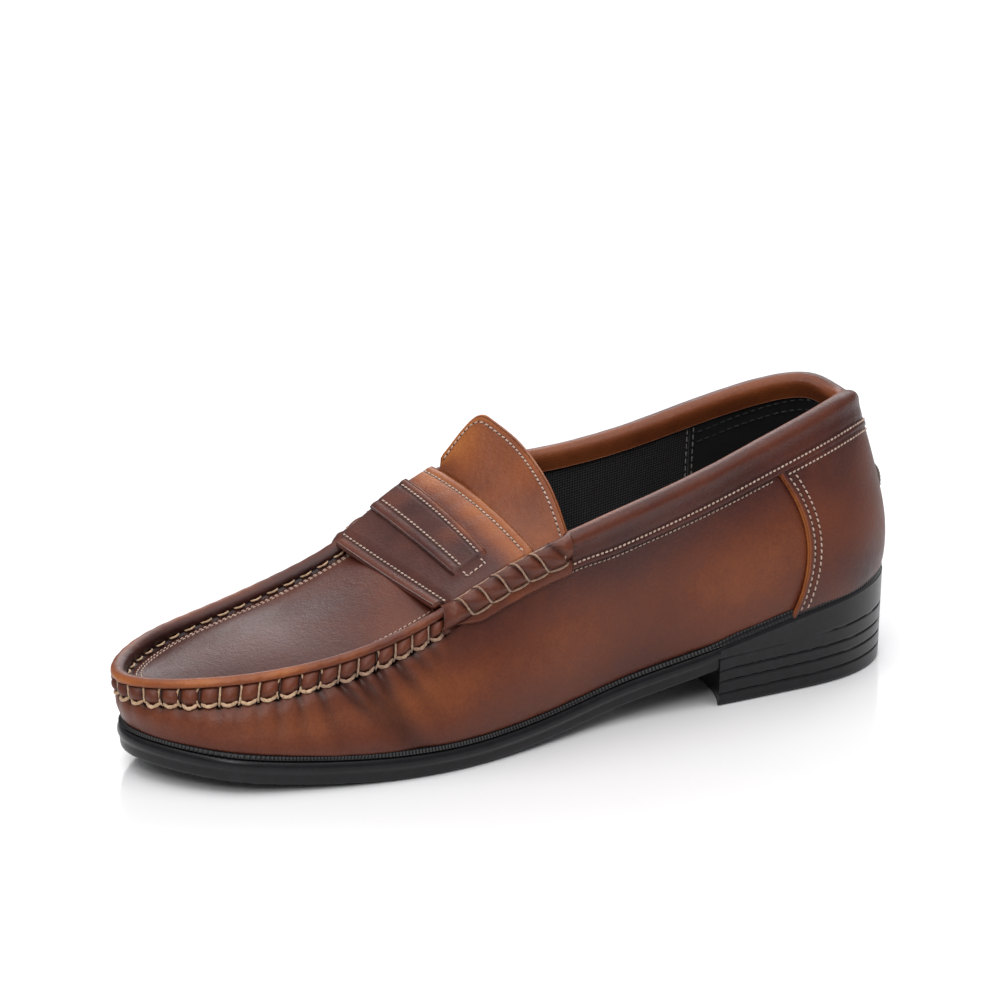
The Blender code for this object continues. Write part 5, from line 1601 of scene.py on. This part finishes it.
def stitch_apron(trees, materials):
    """Two fine rows inside the ridge."""
    for number, distance in enumerate(APRON_ROWS, start=1):
        path = apron_stitch_path(distance, trees["apron"])
        stitch_row(f"apron_stitches_{number}", path, trees["apron"], materials, 2.0 * MM,
                   APRON_ROW_THREAD)


def stitch_straps(trees, materials):
    """Rows along the edges of the saddle strap and the penny strip, and a box at its end."""
    pitch = 2.5 * MM
    share = np.linspace(0, 1, 300)
    inset = STRAP_STITCH_INSET / SADDLE_LENGTH
    for word, front_share in (("front", inset), ("rear", 1 - inset)):
        lap = SADDLE_FRONT_LAP + (SADDLE_REAR_LAP - SADDLE_FRONT_LAP) * front_share
        laps = np.full(share.shape, lap)
        path = saddle_points(laps, laps, share, 2.3 * MM)
        stitch_row(f"saddle_stitches_{word}", path, trees["strap"], materials, pitch)
    front, rear = STRAP_STITCH_INSET / KEEPER_WIDTH, 1 - STRAP_STITCH_INSET / KEEPER_WIDTH
    for word, across in (("front", front), ("rear", rear)):
        path = keeper_points(np.full(share.shape, across), share, 3.6 * MM)
        stitch_row(f"penny_stitches_{word}", path[6:-6], trees["keeper"], materials, pitch)
    corners = ((front, 0.0), (front, -BOX_LENGTH), (rear, -BOX_LENGTH), (rear, 0.0))
    path = polyline([keeper_points(np.array(a), np.array(b), 2.4 * MM) for a, b in corners])
    stitch_row("penny_end_stitches", path, trees["strap"], materials)


def stitch_tongue(trees, materials):
    """One row round the tongue's free edge."""
    across = np.linspace(0.015, 0.985, 400)
    edge = tongue_points(across, np.full(across.shape, 1.0))
    inward = tongue_points(across, np.full(across.shape, 0.8)) - edge
    inward /= np.linalg.norm(inward, axis=1, keepdims=True)
    path = edge + inward * TONGUE_ROW_INSET
    stitch_row("tongue_stitches", path, trees["tongue"], materials, 2.2 * MM, body="tongue")


def polyline(corners, per_side=40):
    """Straight runs between corners as one path."""
    runs = []
    for start, end in zip(corners[:-1], corners[1:]):
        share = np.linspace(0, 1, per_side)[:, None]
        runs.append(start * (1 - share) + end * share)
    return np.vstack(runs)


def make_lining_stitching(materials):
    """Pale upright rows where the heel grip meets the mesh, and two arched rows round it."""
    for sign, word in ((1, "left"), (-1, "right")):
        drop = np.linspace(6 * MM, 42 * MM, 200)
        for number, shift in enumerate((0.03, -0.06), start=1):
            lap = np.full(drop.shape, sign * (HEEL_LINING_LAP + shift))
            path = wall_drop(lap, drop, LINING_OUT - 0.35 * MM)
            threads_row(f"lining_stitches_{word}_{number}", path, materials["pale"])
    for number, drop in enumerate((12 * MM, 16 * MM), start=1):
        lap = np.linspace(-HEEL_LINING_LAP + 0.1, HEEL_LINING_LAP - 0.1, 400)
        arch = drop - 3.0 * MM * np.cos(lap / HEEL_LINING_LAP * math.pi / 2)
        path = wall_drop(lap, arch, LINING_OUT - 0.5 * MM)
        threads_row(f"heel_grip_stitches_{number}", path, materials["black"])


def threads_row(name, path, material):
    """Row of plain stitches along a path that already lies on its surface."""
    pitch = 3.0 * MM
    share = np.linspace(-0.36, 0.36, 6)[:, None]
    paths = []
    for spot, direction in zip(*even_points(path, pitch)):
        paths.append(spot + direction / np.linalg.norm(direction) * share * pitch)
    threads(name, paths, 0.22 * MM, material, sides=6, twist=900, taper=0.5 * MM)


# ---- hidden pieces keep their CAD shape ---------------------------------
# The finish that each one gets.
HIDDEN = {
    "insole_board": "board", "heel_pad": "foam", "forepart_filler": "cork", "steel_shank": "steel",
    "collar_padding": "foam", "toe_puff": "board", "heel_stiffener": "board",
    "vamp_lining": "grip",
    **{f"heel_nail_{number}": "steel" for number in range(1, 6)},
}


def finish_hidden(materials):
    for node, key in HIDDEN.items():
        for slot in frame["nodes"][node].material_slots:
            slot.material = materials[key]


# ---- floor, light and camera --------------------------------------------
SOFTBOX_AIM = Vector((0, 0, 0.05))


def make_floor():
    size = 6.0
    mesh = bpy.data.meshes.new("floor")
    corners = [(-size, -size, 0), (size, -size, 0), (size, size, 0), (-size, size, 0)]
    mesh.from_pydata(corners, [], [(0, 1, 2, 3)])
    mesh.materials.append(floor_finish())
    floor = linked("floor", mesh)
    floor.location.z = -0.0002


def make_softbox(name, place, size, power):
    data = bpy.data.lights.new(name, "AREA")
    data.shape = "RECTANGLE"
    data.size, data.size_y = size
    data.energy = power
    lamp = linked(name, data)
    lamp.location = place
    lamp.rotation_euler = (SOFTBOX_AIM - Vector(place)).to_track_quat("-Z", "Y").to_euler()


def make_world():
    """Soft grey surroundings, brighter overhead than at the horizon."""
    world = bpy.data.worlds.new("studio")
    world.use_nodes = True
    tree = world.node_tree
    place = add(tree, "ShaderNodeTexCoord")
    split = add(tree, "ShaderNodeSeparateXYZ")
    tree.links.new(place.outputs["Generated"], split.inputs[0])
    sky = ramp(tree, split.outputs["Z"], ((0.0, (0.10, 0.10, 0.11)), (0.75, (0.62, 0.62, 0.63))))
    tree.links.new(sky, tree.nodes["Background"].inputs["Color"])
    bpy.context.scene.world = world


def make_lights():
    """A wide soft light from above, and softboxes behind and in front of the shoe."""
    sun = bpy.data.lights.new("overhead", "SUN")
    sun.energy = 1.75
    sun.angle = math.radians(70)
    linked("overhead", sun).rotation_euler = (math.radians(8), math.radians(6), 0)
    make_softbox("back_softbox", (-1.0, 0.75, 0.85), (1.3, 0.8), 9)
    make_softbox("front_softbox", (1.3, -1.1, 1.2), (0.6, 0.5), 8)


CAMERA_AIM = (-0.019897, 0.0075, 0.070297)
CAMERA_AZIMUTH = math.radians(60.6693)
CAMERA_ELEVATION = math.radians(17.8536)
CAMERA_DISTANCE = 2.15943
CAMERA_LENS = 217.644


def make_camera():
    data = bpy.data.cameras.new("camera")
    data.sensor_width = 36
    data.lens = CAMERA_LENS
    camera = linked("camera", data)
    a, e = CAMERA_AZIMUTH, CAMERA_ELEVATION
    back = Vector((math.sin(a) * math.cos(e), -math.cos(a) * math.cos(e), math.sin(e)))
    camera.location = Vector(CAMERA_AIM) + back * CAMERA_DISTANCE
    camera.rotation_euler = back.to_track_quat("Z", "Y").to_euler()
    bpy.context.scene.camera = camera


def main():
    materials = make_materials()
    make_camera()
    side = make_side_panel(materials)
    make_seam_thread(materials)
    apron = make_apron(materials)
    strap = make_saddle_strap(materials)
    keeper = make_penny_keeper(materials)
    for word in ("left", "right"):
        make_beef_roll(word, materials)
        make_roll_thread(word, materials)
    collar = make_collar(materials)
    counter = make_back_counter(materials)
    make_backstay_thread(materials)
    tongue = make_tongue(materials)
    make_tongue_lining(materials)
    make_linings(materials)
    make_sock(materials)
    make_outsole(materials)
    make_teeth(materials)
    make_heel(materials)
    trees = {"side": surface_tree(side), "counter": surface_tree(counter),
             "apron": surface_tree(apron), "strap": surface_tree(strap),
             "keeper": surface_tree(keeper), "collar": surface_tree(collar),
             "tongue": surface_tree(tongue)}
    for stitch in (stitch_collar, stitch_counter, stitch_apron, stitch_straps, stitch_tongue):
        stitch(trees, materials)
    make_lining_stitching(materials)
    finish_hidden(materials)
    make_floor()
    make_world()
    make_lights()
    bpy.context.scene.view_settings.view_transform = "Standard"


main()
